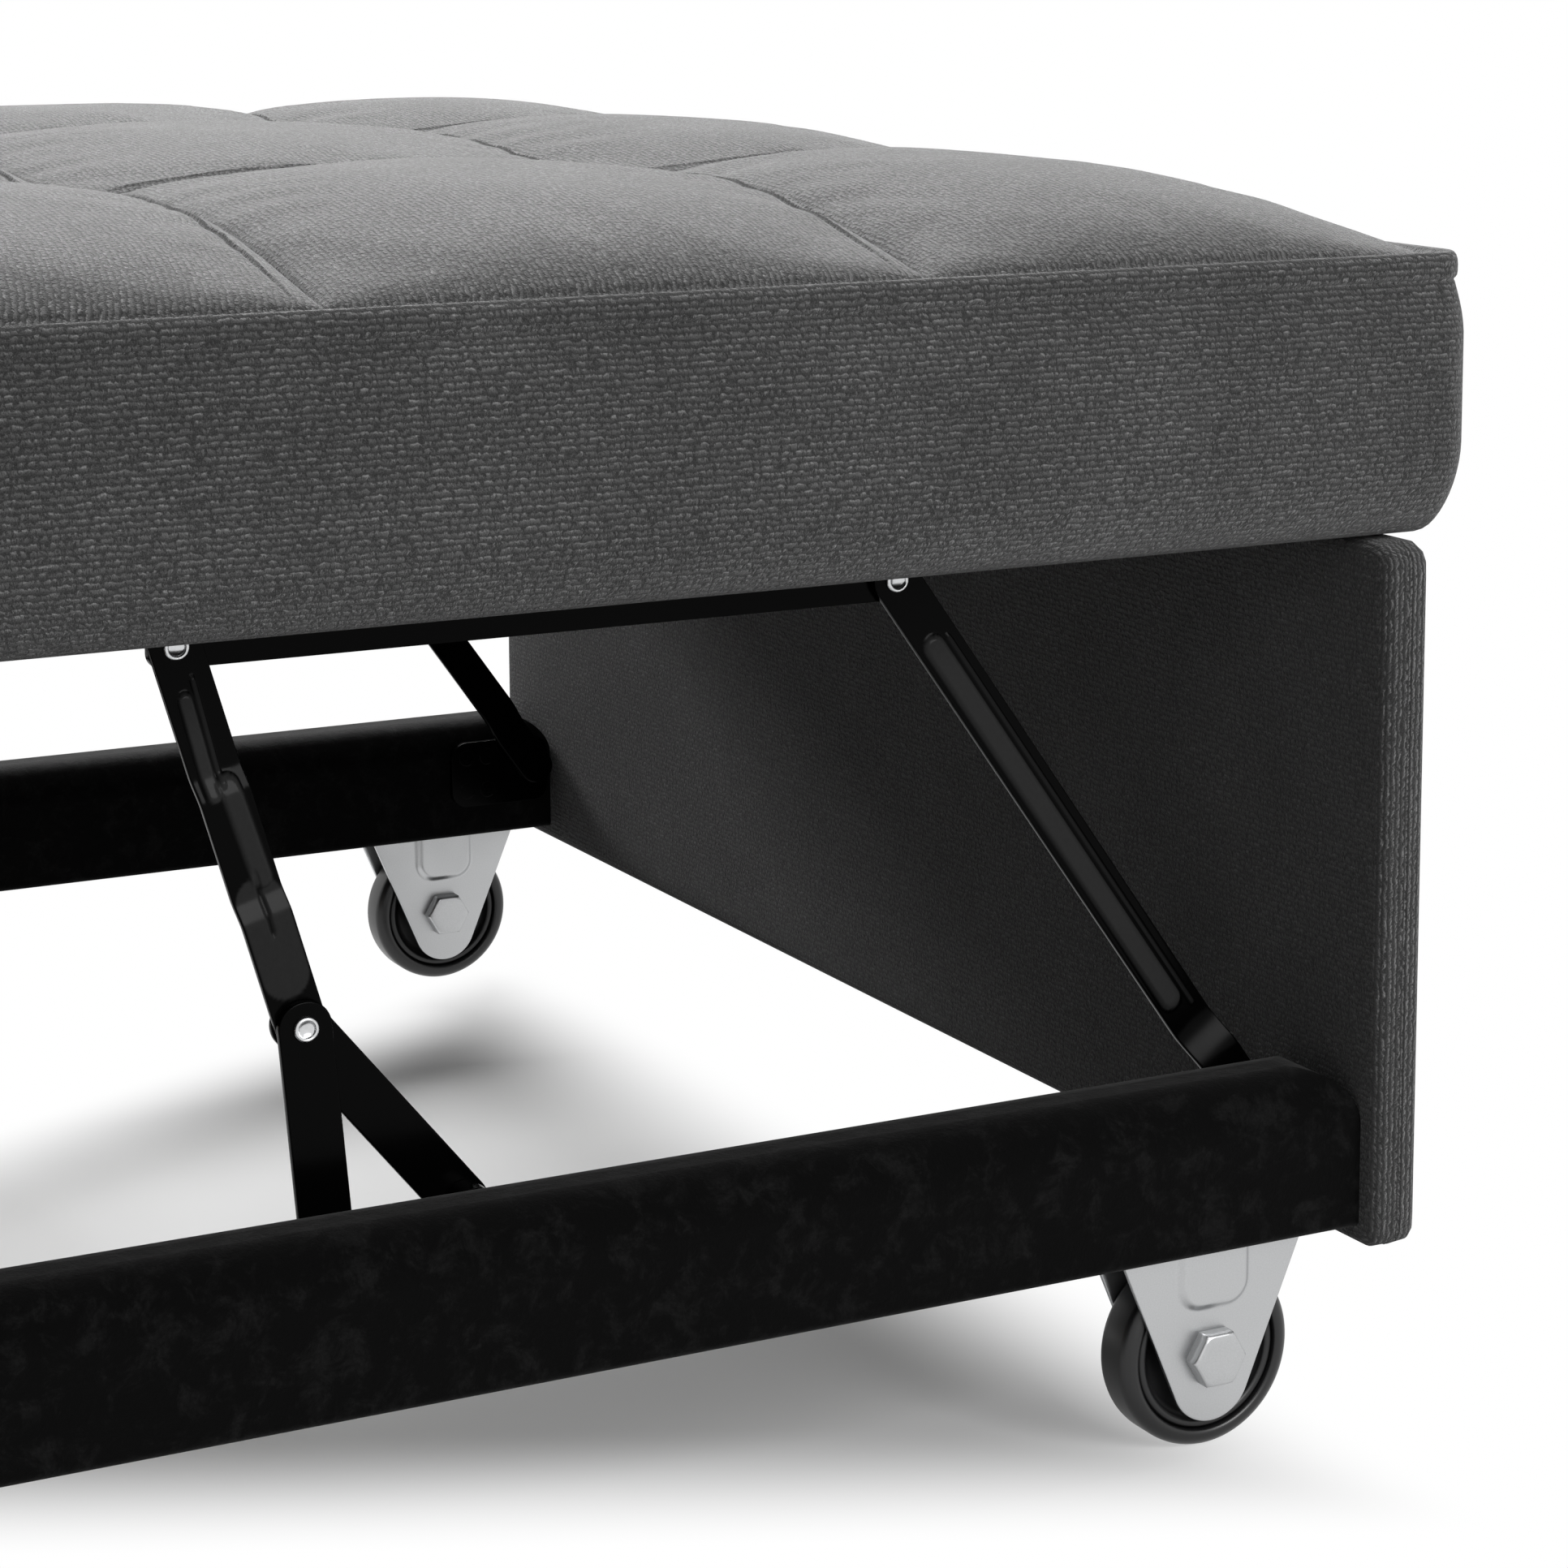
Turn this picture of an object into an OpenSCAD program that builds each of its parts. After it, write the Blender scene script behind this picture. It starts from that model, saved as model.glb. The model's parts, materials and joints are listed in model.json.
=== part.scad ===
/* [Bed] */
// Width of the sleeping surface over the piped edges
bed_w = 776; // [640:1:900]
// Height of the piped edge above the floor
bed_lip_z = 424.5; // [400:0.5:450]
// Height of the underside of the cushions above the floor
base_z = 328; // [318:0.5:340]
// Smallest gap left between solids that only lie beside each other
seat_fit = 0.3; // [0.2:0.05:0.6]
// Gap between links that slide over each other
link_gap = 0.3; // [0.2:0.05:0.6]
// Radial clearance of every pivot
pivot_fit = 0.08; // [0.05:0.01:0.1]

/* [Extension cushion] */
// Length of the pop-up cushion over the piped edges
ext_len = 622; // [560:1:680]
// How far its edge passes the outer face of the front panel
ext_overhang = 10.5; // [6:0.5:16]
// Rise of the whole top above the piped edge
pad_crown = 19; // [16:1:34]
// Extra rise in the middle of each sewn cell
cell_puff = 14; // [6:1:20]
// Height of the flat piped edge
lip_h = 9; // [6:0.5:12]
// How far the boxing is drawn in just under the piped edge
lip_groove = 2.5; // [1:0.5:4]
// How far the boxing bulges past the piped edge
side_bulge = 3; // [1:0.5:3.4]
// Radius of the rounded edge at the underside
under_r = 22; // [12:1:30]
// Radius of the cushion's corners seen from above
pad_corner_r = 26; // [16:1:40]
// Thickness of the plywood inside each cushion
board_t = 15; // [12:1:18]
// How far the plywood stays inside the piped edge
board_inset = 30; // [27:1:60]

/* [Front panel] */
// How far each end of the front panel lies inside the cushion's edge
panel_side_in = 0.5; // [0:0.5:4]
// Thickness of the front panel with its fabric
panel_t = 17; // [14:0.5:24]
// Height of the panel's lower edge above the floor
panel_z = 69; // [60:1:80]
// Gap between the panel's top and the cushion above it
panel_top_gap = 4; // [3.5:0.5:5]
// Radius of the padded edges
panel_edge_r = 6.5; // [4:0.5:8]

/* [Side rails] */
// Thickness of each covered side rail
rail_w = 45; // [38:1:52]
// Height of each side rail
rail_h = 58; // [50:1:80]
// How far the rails' outer faces lie inside the cushion's edge
rail_side_in = 9.5; // [8:0.5:14]
// How far the rails still reach between the chair's arms when drawn out
rail_lap = 100; // [90:1:130]
// Radius of the rounded upper edges
rail_top_r = 18; // [8:1:20]
// Radius of the rounded front end, seen from the side
rail_nose_r = 20; // [8:1:28]
// Thickness of the cross rail that joins the rear ends
cross_t = 40; // [24:1:50]
// Height of the cross rail
cross_h = 32; // [24:1:44]

/* [Castors] */
// Diameter of the castor wheels
wheel_d = 70; // [60:1:76]
// Width of the castor wheels
wheel_w = 19; // [15:0.5:22]
// Distance of the wheel axles behind the front panel
wheel_y = 55; // [50:1:80]
// Thickness of the fork's steel
fork_t = 2; // [1.5:0.25:3]
// Clearance between the wheel and each leg of the fork
fork_gap = 0.5; // [0.4:0.1:1]
// Length of the fork under the rail
fork_len = 76; // [60:1:90]
// Radius of the fork's rounded lower end
fork_tip_r = 16; // [13:0.5:20]
// How far the rounded end's centre lies below the axle
fork_tip_drop = 8.5; // [4:0.5:10]
// Diameter of the axle bolts
bolt_d = 12; // [10:0.5:12]
// Size of the hexagon across its flats
hex_af = 19; // [17:0.5:19]
// Height of the hexagon head
hex_h = 6.2; // [5:0.1:8]

/* [Lift linkage] */
// Width of the long front and upper rear arms
arm_w = 17; // [14:0.5:20]
// Width of the short links at the knee
link_w = 18; // [14:0.5:20]
// Thickness of the arms and links
arm_t = 3; // [2.5:0.25:4]
// Angle of the front arms above the floor
front_arm_angle = 54.7; // [50:0.1:60]
// Distance of the lower front pivot behind the panel
front_pivot_y = 12; // [11:0.5:20]
// Height of the lower front pivot
front_pivot_z = 111; // [105:0.5:120]
// How far the upper pivots lie below the cushion
bar_pivot_drop = 12.966; // [11:0.001:15]
// Distance between the two upper pivots along the top bar
top_pivot_span = 255.5; // [240:0.5:270]
// How far the knee lies in front of the rear upper pivot
knee_back = 36; // [30:0.5:44]
// Height of the knee above the lower front pivot
knee_rise = 78.534; // [70:0.001:85]
// How far the prop's guide pin lies in front of the knee
prop_lean = 6.6; // [4:0.1:10]
// Height of the prop's guide pin
prop_pin_z = 108; // [106:0.5:110]
// Length of the diagonal stays between their pivots
stay_len = 88; // [84:0.5:92]
// Angle of the stays below level
stay_angle = 51; // [48:0.5:54]
// Sideways set of the arms between their upper and lower ends
joggle = 6; // [4:0.5:7]
// Height of the pressed ribs on the arms
rib_h = 1.2; // [0.6:0.1:1.6]
// Diameter of the rivet shanks
rivet_d = 6.4; // [5:0.1:7]
// Diameter of the rivet heads
rivet_head_d = 8.6; // [8:0.1:12]
// Height of the rivet heads
rivet_head_h = 1.5; // [1:0.1:1.6]
// Leg of the angle bars under the cushion
bar_leg = 20.5; // [18:0.5:24]

/* [Chair] */
// Gap between the raised cushion and the seat with the carriage drawn out
rest_gap = 112; // [108:1:130]
// Length of the seat cushion
seat_len = 580; // [520:1:600]
// How much narrower each edge of the seat cushion is than the bed
seat_inset = 5; // [4:0.5:8]
// Thickness of the padded arms
chair_arm_w = 138; // [100:1:180]
// Height of the arms above the floor
chair_arm_z = 600; // [560:1:660]
// Depth of the arms from front to back
chair_arm_len = 850; // [830:1:880]
// How far the arms stand in front of the seat cushion
chair_arm_lead = 16.5; // [10:0.5:30]
// Clearance between the bed and the inner faces of the arms
chair_side_gap = 6.5; // [6.5:0.5:10]
// Radius of the arms' rounded edges
chair_arm_r = 28; // [16:1:40]
// Diameter of the feet at the floor
foot_d = 46; // [36:1:56]
// Diameter of the feet at the top
foot_top_d = 62; // [48:1:72]
// Height of the timbers under the seat
seat_rail_h = 29; // [24:0.5:30]
// Width of the timbers under the seat
seat_rail_w = 42; // [34:1:60]
// Thickness of the lower rear panel
rear_panel_t = 22; // [16:1:30]
// Depth of the steel tracks for the rear rollers
track_depth = 14; // [13.5:0.5:15]
// Height of the tracks
track_h = 34; // [33:0.5:36]
// Thickness of the tracks' steel
track_t = 2; // [1.5:0.25:2.5]
// Diameter of the rear rollers
roller_d = 24.5; // [22:0.5:25]
// Width of the rear rollers
roller_w = 8; // [6:0.5:8]
// Clearance between the rollers and the web of the tracks
roller_gap = 0.8; // [0.6:0.1:1]

/* [Backrest] */
// Length of the backrest cushion
back_len = 580; // [520:1:620]
// How much narrower each edge of the backrest is than the bed
back_inset = 10; // [9.5:0.5:14]
// Thickness of the backrest's frame board
back_board_t = 24; // [18:1:30]
// Lean of the upright backrest behind the vertical
back_lean = 12; // [8:0.5:20]
// Gap between the seat and the backrest cushion when it lies flat
back_gap = 20; // [19:0.5:24]
// Depth of the backrest's pivot below the piped edge
back_pivot_drop = 20; // [18:0.5:22]
// Distance of the pivot behind the front edge of the backrest cushion
back_pivot_back = 16; // [15:0.5:18]
// Thickness of the hinge steel
hinge_t = 3; // [2.5:0.25:3.5]
// Diameter of the hinge pins
hinge_pin_d = 12; // [8:0.5:14]

/* [Hidden] */
$fn = 48;

// One overrun serves every cut
cut = 1;

// Places along the bed, measured from the inner face of the front panel
ext_front_y = -panel_t - ext_overhang;
ext_rear_y = ext_front_y + ext_len;
seat_front_y = ext_rear_y + rest_gap;
seat_rear_y = seat_front_y + seat_len;
chair_front_y = seat_front_y - chair_arm_lead;
chair_rear_y = chair_front_y + chair_arm_len;
rail_len = chair_front_y + rail_lap;
mid_y = (ext_front_y - side_bulge + chair_rear_y) / 2;

// Half widths and faces across the bed
ext_hw = bed_w / 2;
seat_hw = ext_hw - seat_inset;
back_hw = ext_hw - back_inset;
chair_in_x = ext_hw + chair_side_gap;
rail_out_x = ext_hw - rail_side_in;
panel_w = 2 * (ext_hw - panel_side_in);
rail_in_x = rail_out_x - rail_w;
rail_mid_x = rail_out_x - rail_w / 2;
rail_wheel_gap = 6;
rail_z = wheel_d + rail_wheel_gap;
rail_top_z = rail_z + rail_h;
plate_top_z = rail_top_z - rail_top_r / 2;
rail_foot_r = 3;

// Layers of the lift linkage, from the rail's inner face inwards
plate_t = 3;
plate_gap = 0.5;
prop_x = rail_in_x - plate_t - plate_gap - arm_t;
lower_arm_x = prop_x - link_gap - arm_t;
stay_x = lower_arm_x - link_gap - arm_t;
upper_arm_x = lower_arm_x - joggle;
bar_x = upper_arm_x - link_gap - arm_t;

// Pivots of the lift linkage
top_pivot_z = base_z - bar_pivot_drop;
front_arm_len = (top_pivot_z - front_pivot_z) / sin(front_arm_angle);
front_top_y = front_pivot_y + front_arm_len * cos(front_arm_angle);
rear_top_y = front_top_y + top_pivot_span;
knee_y = rear_top_y - knee_back;
knee_z = front_pivot_z + knee_rise;
knee_drop = top_pivot_z - knee_z;
prop_pin_y = knee_y - prop_lean;
stay_foot_y = knee_y - stay_len * cos(stay_angle);
stay_foot_z = knee_z - stay_len * sin(stay_angle);
rear_arm_len = norm([knee_back, knee_drop]);
prop_len = norm([prop_lean, knee_z - prop_pin_z]);
bar_bottom_z = base_z - bar_leg;

// Pivots and faces of the backrest when it lies flat
back_pivot_y = seat_rear_y + back_gap + back_pivot_back;
back_pivot_z = bed_lip_z - back_pivot_drop;
back_front_y = back_pivot_y - back_pivot_back;
back_board_z = base_z - back_board_t;
back_raise = 90 - back_lean;

// Small sizes that several pieces share
screw_d = 4;
screw_head_d = 8;
screw_head_h = 2;
screw_len = 20;

// Moves a piece from the panel's inner face to the middle of the whole bed
module placed() translate([0, -mid_y, 0]) children();

// Draws the right-hand piece, or its mirror image on the left
module on_side(side) mirror([side == "left" ? 1 : 0, 0, 0]) children();

// Draws a pair, one at each side
module both_sides() {
  children();
  mirror([1, 0, 0]) children();
}

// Extrudes an outline drawn in Y and Z from one X to another
module along_x(x0, x1) translate([x0, 0, 0]) rotate([90, 0, 90]) linear_extrude(x1 - x0) children();

// Extrudes an outline drawn in X and Z from one Y to another
module along_y(y0, y1) translate([0, y1, 0]) rotate([90, 0, 0]) linear_extrude(y1 - y0) children();

// A rod along X
module rod_x(x0, x1, d) translate([x0, 0, 0]) rotate([0, 90, 0]) cylinder(h = x1 - x0, d = d);

// Rectangle with round corners, from its lower left corner
module rounded_rect(w, h, r) {
  translate([r, 0]) square([w - 2 * r, h]);
  translate([0, r]) square([w, h - 2 * r]);
  for (x = [r, w - r], y = [r, h - r]) translate([x, y]) circle(r);
}

// Rectangle with two round upper corners
module arched_rect(w, h, r, foot_r) {
  translate([0, foot_r]) square([w, h - r - foot_r]);
  translate([foot_r, 0]) square([w - 2 * foot_r, h - r]);
  translate([r, 0]) square([w - 2 * r, h]);
  for (x = [r, w - r]) translate([x, h - r]) circle(r);
  for (x = [foot_r, w - foot_r]) translate([x, foot_r]) circle(foot_r);
}

// Strap with round ends about two pivots, running up from the first
module strap(len, w) {
  translate([-w / 2, 0]) square([w, len]);
  circle(d = w);
  translate([0, len]) circle(d = w);
}

// Countersunk screw along -X, its flat head at x = 0
module flush_screw(len) rotate([0, 90, 0]) {
  cylinder(h = screw_head_h, d1 = screw_head_d, d2 = screw_d);
  cylinder(h = len, d = screw_d);
}

// Share of a cell's width at one of its sample lines, closer together near the seams
function eased(f) = (1 - cos(180 * f)) / 2;

// Share along a row of cells whose borders are given as shares
function cell_share(border_shares, sub, i) =
  let (k = min(floor(i / sub), len(border_shares) - 2), f = eased((i - k * sub) / sub))
  border_shares[k] + (border_shares[k + 1] - border_shares[k]) * f;

// Rise of one cell, from 0 at its seams to 1 in the middle
puff_share = 0.6;
function cell_rise(sub, i) = let (f = eased((i % sub) / sub)) pow(4 * f * (1 - f), puff_share);

// Levels and outsets of the boxing, from the piped edge to the underside
side_rise_shares = [0.14, 0.32, 0.5, 0.7, 0.88];
function boxing(z0, z1) =
  let (box_top = z1 - lip_h - lip_groove / 2, box_h = box_top - z0 - under_r)
  concat([[z1 - lip_h, 0], [box_top, -lip_groove]],
    [for (t = side_rise_shares)
      [box_top - t * box_h, (side_bulge + lip_groove) * sin(180 * t) - lip_groove]],
    [for (a = [25, 60, 90]) [z0 + under_r * (1 - sin(a)), -lip_groove - under_r * (1 - cos(a))]]);

// Crowned cushion with sewn cells, a piped edge, bulging boxing and a pocket for its board
module tufted_pad(hw, y0, len, z0, column_shares, row_shares, sub, pocket_inset, pocket_h) {
  nx = sub * (len(column_shares) - 1);
  ny = sub * (len(row_shares) - 1);
  around = 2 * (nx + ny);
  yc = y0 + len / 2;
  hl = len / 2;
  function plan(i, j) =
    [(2 * cell_share(column_shares, sub, i) - 1) * hw, (2 * cell_share(row_shares, sub, j) - 1) * hl];
  function inner(p) = [max(-hw + pad_corner_r, min(hw - pad_corner_r, p[0])),
    max(-hl + pad_corner_r, min(hl - pad_corner_r, p[1]))];
  function rounded(p, out) =
    let (c = inner(p), d = p - c, reach = max(abs(d[0]), abs(d[1])))
    reach < cut / 1000 ? p : c + d / norm(d) * (reach + out);
  function rise(i, j) =
    let (p = plan(i, j), u = p[0] / hw, v = p[1] / hl)
    pad_crown * (1 - pow(u, crown_power_share)) * (1 - pow(v, crown_power_share))
    + cell_puff * cell_rise(sub, i) * cell_rise(sub, j);
  function edge(k) = k < nx ? [k, 0] : k < nx + ny ? [nx, k - nx]
    : k < 2 * nx + ny ? [2 * nx + ny - k, ny] : [0, around - k];
  function edge_plan(k) = let (e = edge(k)) plan(e[0], e[1]);
  top = [for (j = [0:ny], i = [0:nx]) let (p = rounded(plan(i, j), 0))
    [p[0], yc + p[1], bed_lip_z + rise(i, j)]];
  rings = boxing(z0, bed_lip_z);
  sides = [for (r = rings, k = [0:around - 1]) let (p = rounded(edge_plan(k), r[1]))
    [p[0], yc + p[1], r[0]]];
  pocket_x = (hw - pocket_inset) / hw;
  pocket_y = (hl - pocket_inset) / hl;
  pocket = [for (z = [z0, z0 + pocket_h], k = [0:around - 1]) let (p = edge_plan(k))
    [p[0] * pocket_x, yc + p[1] * pocket_y, z]];
  points = concat(top, sides, pocket_h > 0 ? pocket : [], [[0, yc, z0 + pocket_h]]);
  top_count = (nx + 1) * (ny + 1);
  ring_count = len(rings) + (pocket_h > 0 ? 2 : 0);
  function on_ring(n, k) =
    let (m = k % around, e = edge(m)) n == 0 ? e[1] * (nx + 1) + e[0] : top_count + (n - 1) * around + m;
  top_faces = [for (j = [0:ny - 1], i = [0:nx - 1])
    let (a = j * (nx + 1) + i, b = a + 1, c = b + nx + 1, d = a + nx + 1) each [[a, d, c], [a, c, b]]];
  side_faces = [for (n = [0:ring_count - 1], k = [0:around - 1])
    let (a = on_ring(n, k), b = on_ring(n, k + 1), c = on_ring(n + 1, k + 1), d = on_ring(n + 1, k))
    each [[a, b, c], [a, c, d]]];
  under_faces = [for (k = [0:around - 1])
    [on_ring(ring_count, k), on_ring(ring_count, k + 1), len(points) - 1]];
  polyhedron(points, concat(top_faces, side_faces, under_faces));
}

third_shares = [0, 1 / 3, 2 / 3, 1];
cell_facets = 6;
crown_power_share = 6;

// Front panel with padded edges, drilled for the rails' screws
module front_panel() color("#2c2c2d") placed() difference() {
  intersection() {
    along_y(-panel_t, 0) translate([-panel_w / 2, panel_z])
      rounded_rect(panel_w, panel_h, panel_corner_r);
    along_x(-panel_w / 2, panel_w / 2) translate([-panel_t, panel_z])
      rounded_rect(panel_t, panel_h, panel_edge_r);
    translate([-panel_w / 2, 0, panel_z]) linear_extrude(panel_h)
      translate([0, -panel_t]) rounded_rect(panel_w, panel_t, panel_edge_r);
  }
  panel_screw_holes(panel_screw_d + 2 * pivot_fit, panel_screw_head_d + 2 * pivot_fit);
}
panel_h = base_z - panel_top_gap - panel_z;
panel_corner_r = 8.5;
panel_screw_d = 6;
panel_screw_head_d = 12;
panel_screw_head_h = 3;
panel_screw_len = 70;
panel_screw_rise = 24;
panel_screw_drop = 16;
panel_cover_t = 2;

// Places of the four screws that hold the panel to the ends of the rails
module at_panel_screws() for (x = [-rail_mid_x, rail_mid_x],
  z = [rail_z + panel_screw_rise, rail_top_z - panel_screw_drop])
  translate([x, -panel_t + panel_cover_t, z]) rotate([-90, 0, 0]) children();
module panel_screw_holes(d, head_d) at_panel_screws() {
  cylinder(h = panel_screw_len, d = d);
  cylinder(h = panel_screw_head_h, d = head_d);
}
module panel_screws() color("#b9bbbd") placed() panel_screw_holes(panel_screw_d, panel_screw_head_d);

// Side rail with round upper edges and a rounded front end
module rail(side) color("#0d0d0e") placed() on_side(side) difference() {
  intersection() {
    along_y(0, rail_len) translate([-rail_out_x, rail_z])
      arched_rect(rail_w, rail_h, rail_top_r, rail_foot_r);
    along_x(-rail_out_x, -rail_in_x) translate([0, rail_z]) rail_side();
  }
  panel_screw_holes(panel_screw_d + 2 * pivot_fit, panel_screw_head_d);
  translate([0, roller_y, roller_z])
    rod_x(-rail_out_x - cut, -rail_out_x + axle_grip, axle_d + 2 * pivot_fit);
  at_castor_screws() cylinder(h = castor_screw_len + cut, d = screw_d + 2 * pivot_fit);
  at_plate_screws() flush_screw(screw_len + cut);
}

// Side view of the rail, with its front upper corner rounded
module rail_side() {
  square([rail_len, rail_h - rail_nose_r]);
  translate([rail_nose_r, 0]) square([rail_len - rail_nose_r, rail_h]);
  translate([rail_nose_r, rail_h - rail_nose_r]) circle(rail_nose_r);
}
module right_rail() rail("right");
module left_rail() rail("left");

// Timber between the rear ends of the rails
module rear_crossbar() color("#8a6b48") placed()
  along_x(-rail_in_x, rail_in_x) translate([rail_len - cross_t, rail_z + cross_rise])
    rounded_rect(cross_t, cross_h, rail_foot_r);
cross_rise = 8;

// Castor fork: a folded strip with two tapered legs and a raised panel on the outer one
fork_w = wheel_w + 2 * (fork_gap + fork_t);
fork_tip_z = wheel_d / 2 - fork_tip_drop;
fork_top_t = 2.5;
module castor_fork(x) color("#c6c8ca") placed() translate([x, wheel_y, 0]) difference() {
  union() {
    for (x = [-fork_w / 2, fork_w / 2 - fork_t]) along_x(x, x + fork_t) fork_outline();
    translate([-fork_w / 2, -fork_len / 2, rail_z - fork_top_t]) cube([fork_w, fork_len, fork_top_t]);
    along_x(-fork_w / 2 - boss_t, -fork_w / 2) fork_boss(0);
    along_x(-fork_w / 2 - 2 * boss_t, -fork_w / 2 - boss_t) fork_boss(boss_t);
  }
  translate([0, 0, wheel_d / 2]) rod_x(-fork_w, fork_w, bolt_d + 2 * pivot_fit);
  for (y = [-fork_screw_y, fork_screw_y]) translate([0, y, rail_z - fork_top_t - cut])
    cylinder(h = fork_top_t + 2 * cut, d = screw_d + 2 * pivot_fit);
}
boss_t = 1.2;
boss_w = 31;
boss_h = 24;
fork_screw_y = 28;

// Leg of the fork: straight tangents from the rail down to the rounded end
module fork_outline() {
  fall = rail_z - fork_tip_z;
  lean = atan2(fork_len / 2, fall) - asin(fork_tip_r / norm([fork_len / 2, fall]));
  tangent = [fork_tip_r * cos(lean), -fork_tip_r * sin(lean)];
  polygon([[-fork_len / 2, rail_z], [-tangent[0], fork_tip_z + tangent[1]],
    [tangent[0], fork_tip_z + tangent[1]], [fork_len / 2, rail_z]]);
  translate([0, fork_tip_z]) circle(fork_tip_r);
}

// Raised panel pressed into the leg, open at the rail
module fork_boss(inset) intersection() {
  translate([-boss_w / 2 + inset, rail_z - boss_h + inset])
    rounded_rect(boss_w - 2 * inset, 2 * boss_h, boss_w / 3);
  translate([-boss_w, rail_z - boss_h]) square([2 * boss_w, boss_h]);
}
module right_castor_fork() castor_fork(-rail_mid_x);
module left_castor_fork() castor_fork(rail_mid_x);

// Screws that hold each fork under its rail
castor_screw_len = 20;
module at_castor_screws() for (y = [-fork_screw_y, fork_screw_y])
  translate([-rail_mid_x, wheel_y + y, rail_z - fork_top_t]) children();
module castor_screws() color("#b9bbbd") placed() both_sides() at_castor_screws() {
  cylinder(h = castor_screw_len, d = screw_d);
  translate([0, 0, -screw_head_h]) cylinder(h = screw_head_h, d = screw_head_d);
}

// Axle bolts with hexagon heads outside, and their nuts inside
nut_h = 9.5;
module at_axle() translate([0, wheel_y, wheel_d / 2]) children();
module hexagon(x, h) translate([x, 0, 0]) rotate([0, 90, 0]) cylinder(h = h, d = hex_af / cos(30), $fn = 6);
module at_castors() for (x = [-rail_mid_x, rail_mid_x]) translate([x, wheel_y, wheel_d / 2]) children();
module axle_bolts() color("#c9cbcd") placed() at_castors() {
  rod_x(-fork_w / 2, fork_w / 2 + nut_h, bolt_d);
  hexagon(-fork_w / 2 - hex_h, hex_h);
}
module axle_nuts() color("#c9cbcd") placed() at_castors() difference() {
  hexagon(fork_w / 2, nut_h);
  rod_x(0, fork_w, bolt_d + 2 * pivot_fit);
}

// Wheel: a moulded hub with a recessed web inside a rounded tread
tread_t = 6;
tread_edge_r = 5;
hub_d = 26;
web_w = 9;
rim_t = 4;
module wheel_profile_tyre() {
  r = wheel_d / 2;
  edge = tread_edge_r;
  difference() {
    union() {
      translate([r - tread_t, -wheel_w / 2]) square([tread_t - edge, wheel_w]);
      translate([r - tread_t, -wheel_w / 2 + edge]) square([tread_t, wheel_w - 2 * edge]);
      for (z = [-wheel_w / 2 + edge, wheel_w / 2 - edge]) translate([r - edge, z]) circle(edge);
    }
    translate([0, -wheel_w]) square([r - tread_t, 2 * wheel_w]);
  }
}
module castor_tyre(side) color("#101011") placed() on_side(side) translate([-rail_mid_x, 0, 0]) at_axle()
  rotate([0, 90, 0]) rotate_extrude($fn = 96) wheel_profile_tyre();
module castor_hub(side) color("#19191a") placed() on_side(side) translate([-rail_mid_x, 0, 0]) at_axle()
  rotate([0, 90, 0]) rotate_extrude($fn = 96) {
    rim_r = wheel_d / 2 - tread_t;
    bore_r = bolt_d / 2 + pivot_fit;
    translate([bore_r, -wheel_w / 2]) square([hub_d / 2 - bore_r, wheel_w]);
    translate([bore_r, -web_w / 2]) square([rim_r - bore_r, web_w]);
    translate([rim_r - rim_t, -wheel_w / 2 + rim_t / 4]) square([rim_t, wheel_w - rim_t / 2]);
  }
module right_castor_tyre() castor_tyre("right");
module left_castor_tyre() castor_tyre("left");
module right_castor_hub() castor_hub("right");
module left_castor_hub() castor_hub("left");

// Bracket on the rail that carries the foot of the front arm
bracket_gap = 3;
bracket_back = 52;
bracket_r = 8;
pivot_shank_d = 9;
pivot_boss_d = 16;
bracket_drop = 19;
module arm_bracket(side) color("#141415") placed() on_side(side) {
  difference() {
    along_x(-rail_in_x, -rail_in_x + plate_t)
      translate([bracket_gap, front_pivot_z - bracket_drop])
        rounded_rect(bracket_back, plate_top_z - front_pivot_z + bracket_drop, bracket_r);
    at_bracket_screws() flush_hole();
  }
  translate([0, front_pivot_y, front_pivot_z]) {
    rod_x(-rail_in_x, -lower_arm_x - arm_t - link_gap, pivot_boss_d);
    rod_x(-rail_in_x, -lower_arm_x + link_gap, pivot_shank_d);
    rod_x(-lower_arm_x + link_gap, -lower_arm_x + link_gap + rivet_head_h, pivot_boss_d);
  }
}
module right_arm_bracket() arm_bracket("right");
module left_arm_bracket() arm_bracket("left");

// Guide on the rail: a curved slot for the prop's pin and a boss for the foot of the stay
guide_r = 40;
guide_fore = 36.7;
guide_rise = 18.9;
guide_y = prop_pin_y - guide_fore;
guide_z = prop_pin_z + guide_rise;
guide_start = -23;
guide_sweep = 87;
guide_pin_d = 8;
guide_play = 2.2;
guide_margin = 10;
guide_front_y = stay_foot_y - 2 * guide_margin;
guide_back_y = prop_pin_y + guide_margin;
guide_top_z = plate_top_z;
guide_low_z = rail_z + 2 * link_gap;
module stay_guide(side) color("#141415") placed() on_side(side) {
  difference() {
    along_x(-rail_in_x, -rail_in_x + plate_t) translate([guide_front_y, guide_low_z])
      rounded_rect(guide_back_y - guide_front_y, guide_top_z - guide_low_z, bracket_r / 2);
    translate([-rail_in_x - cut, guide_y, guide_z]) rotate([0, 90, 0]) rotate([0, 0, guide_start])
      slot_ring();
    at_guide_screws() flush_hole();
  }
  translate([0, stay_foot_y, stay_foot_z]) rod_x(-rail_in_x, -stay_x - arm_t - link_gap, pivot_boss_d);
}

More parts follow.
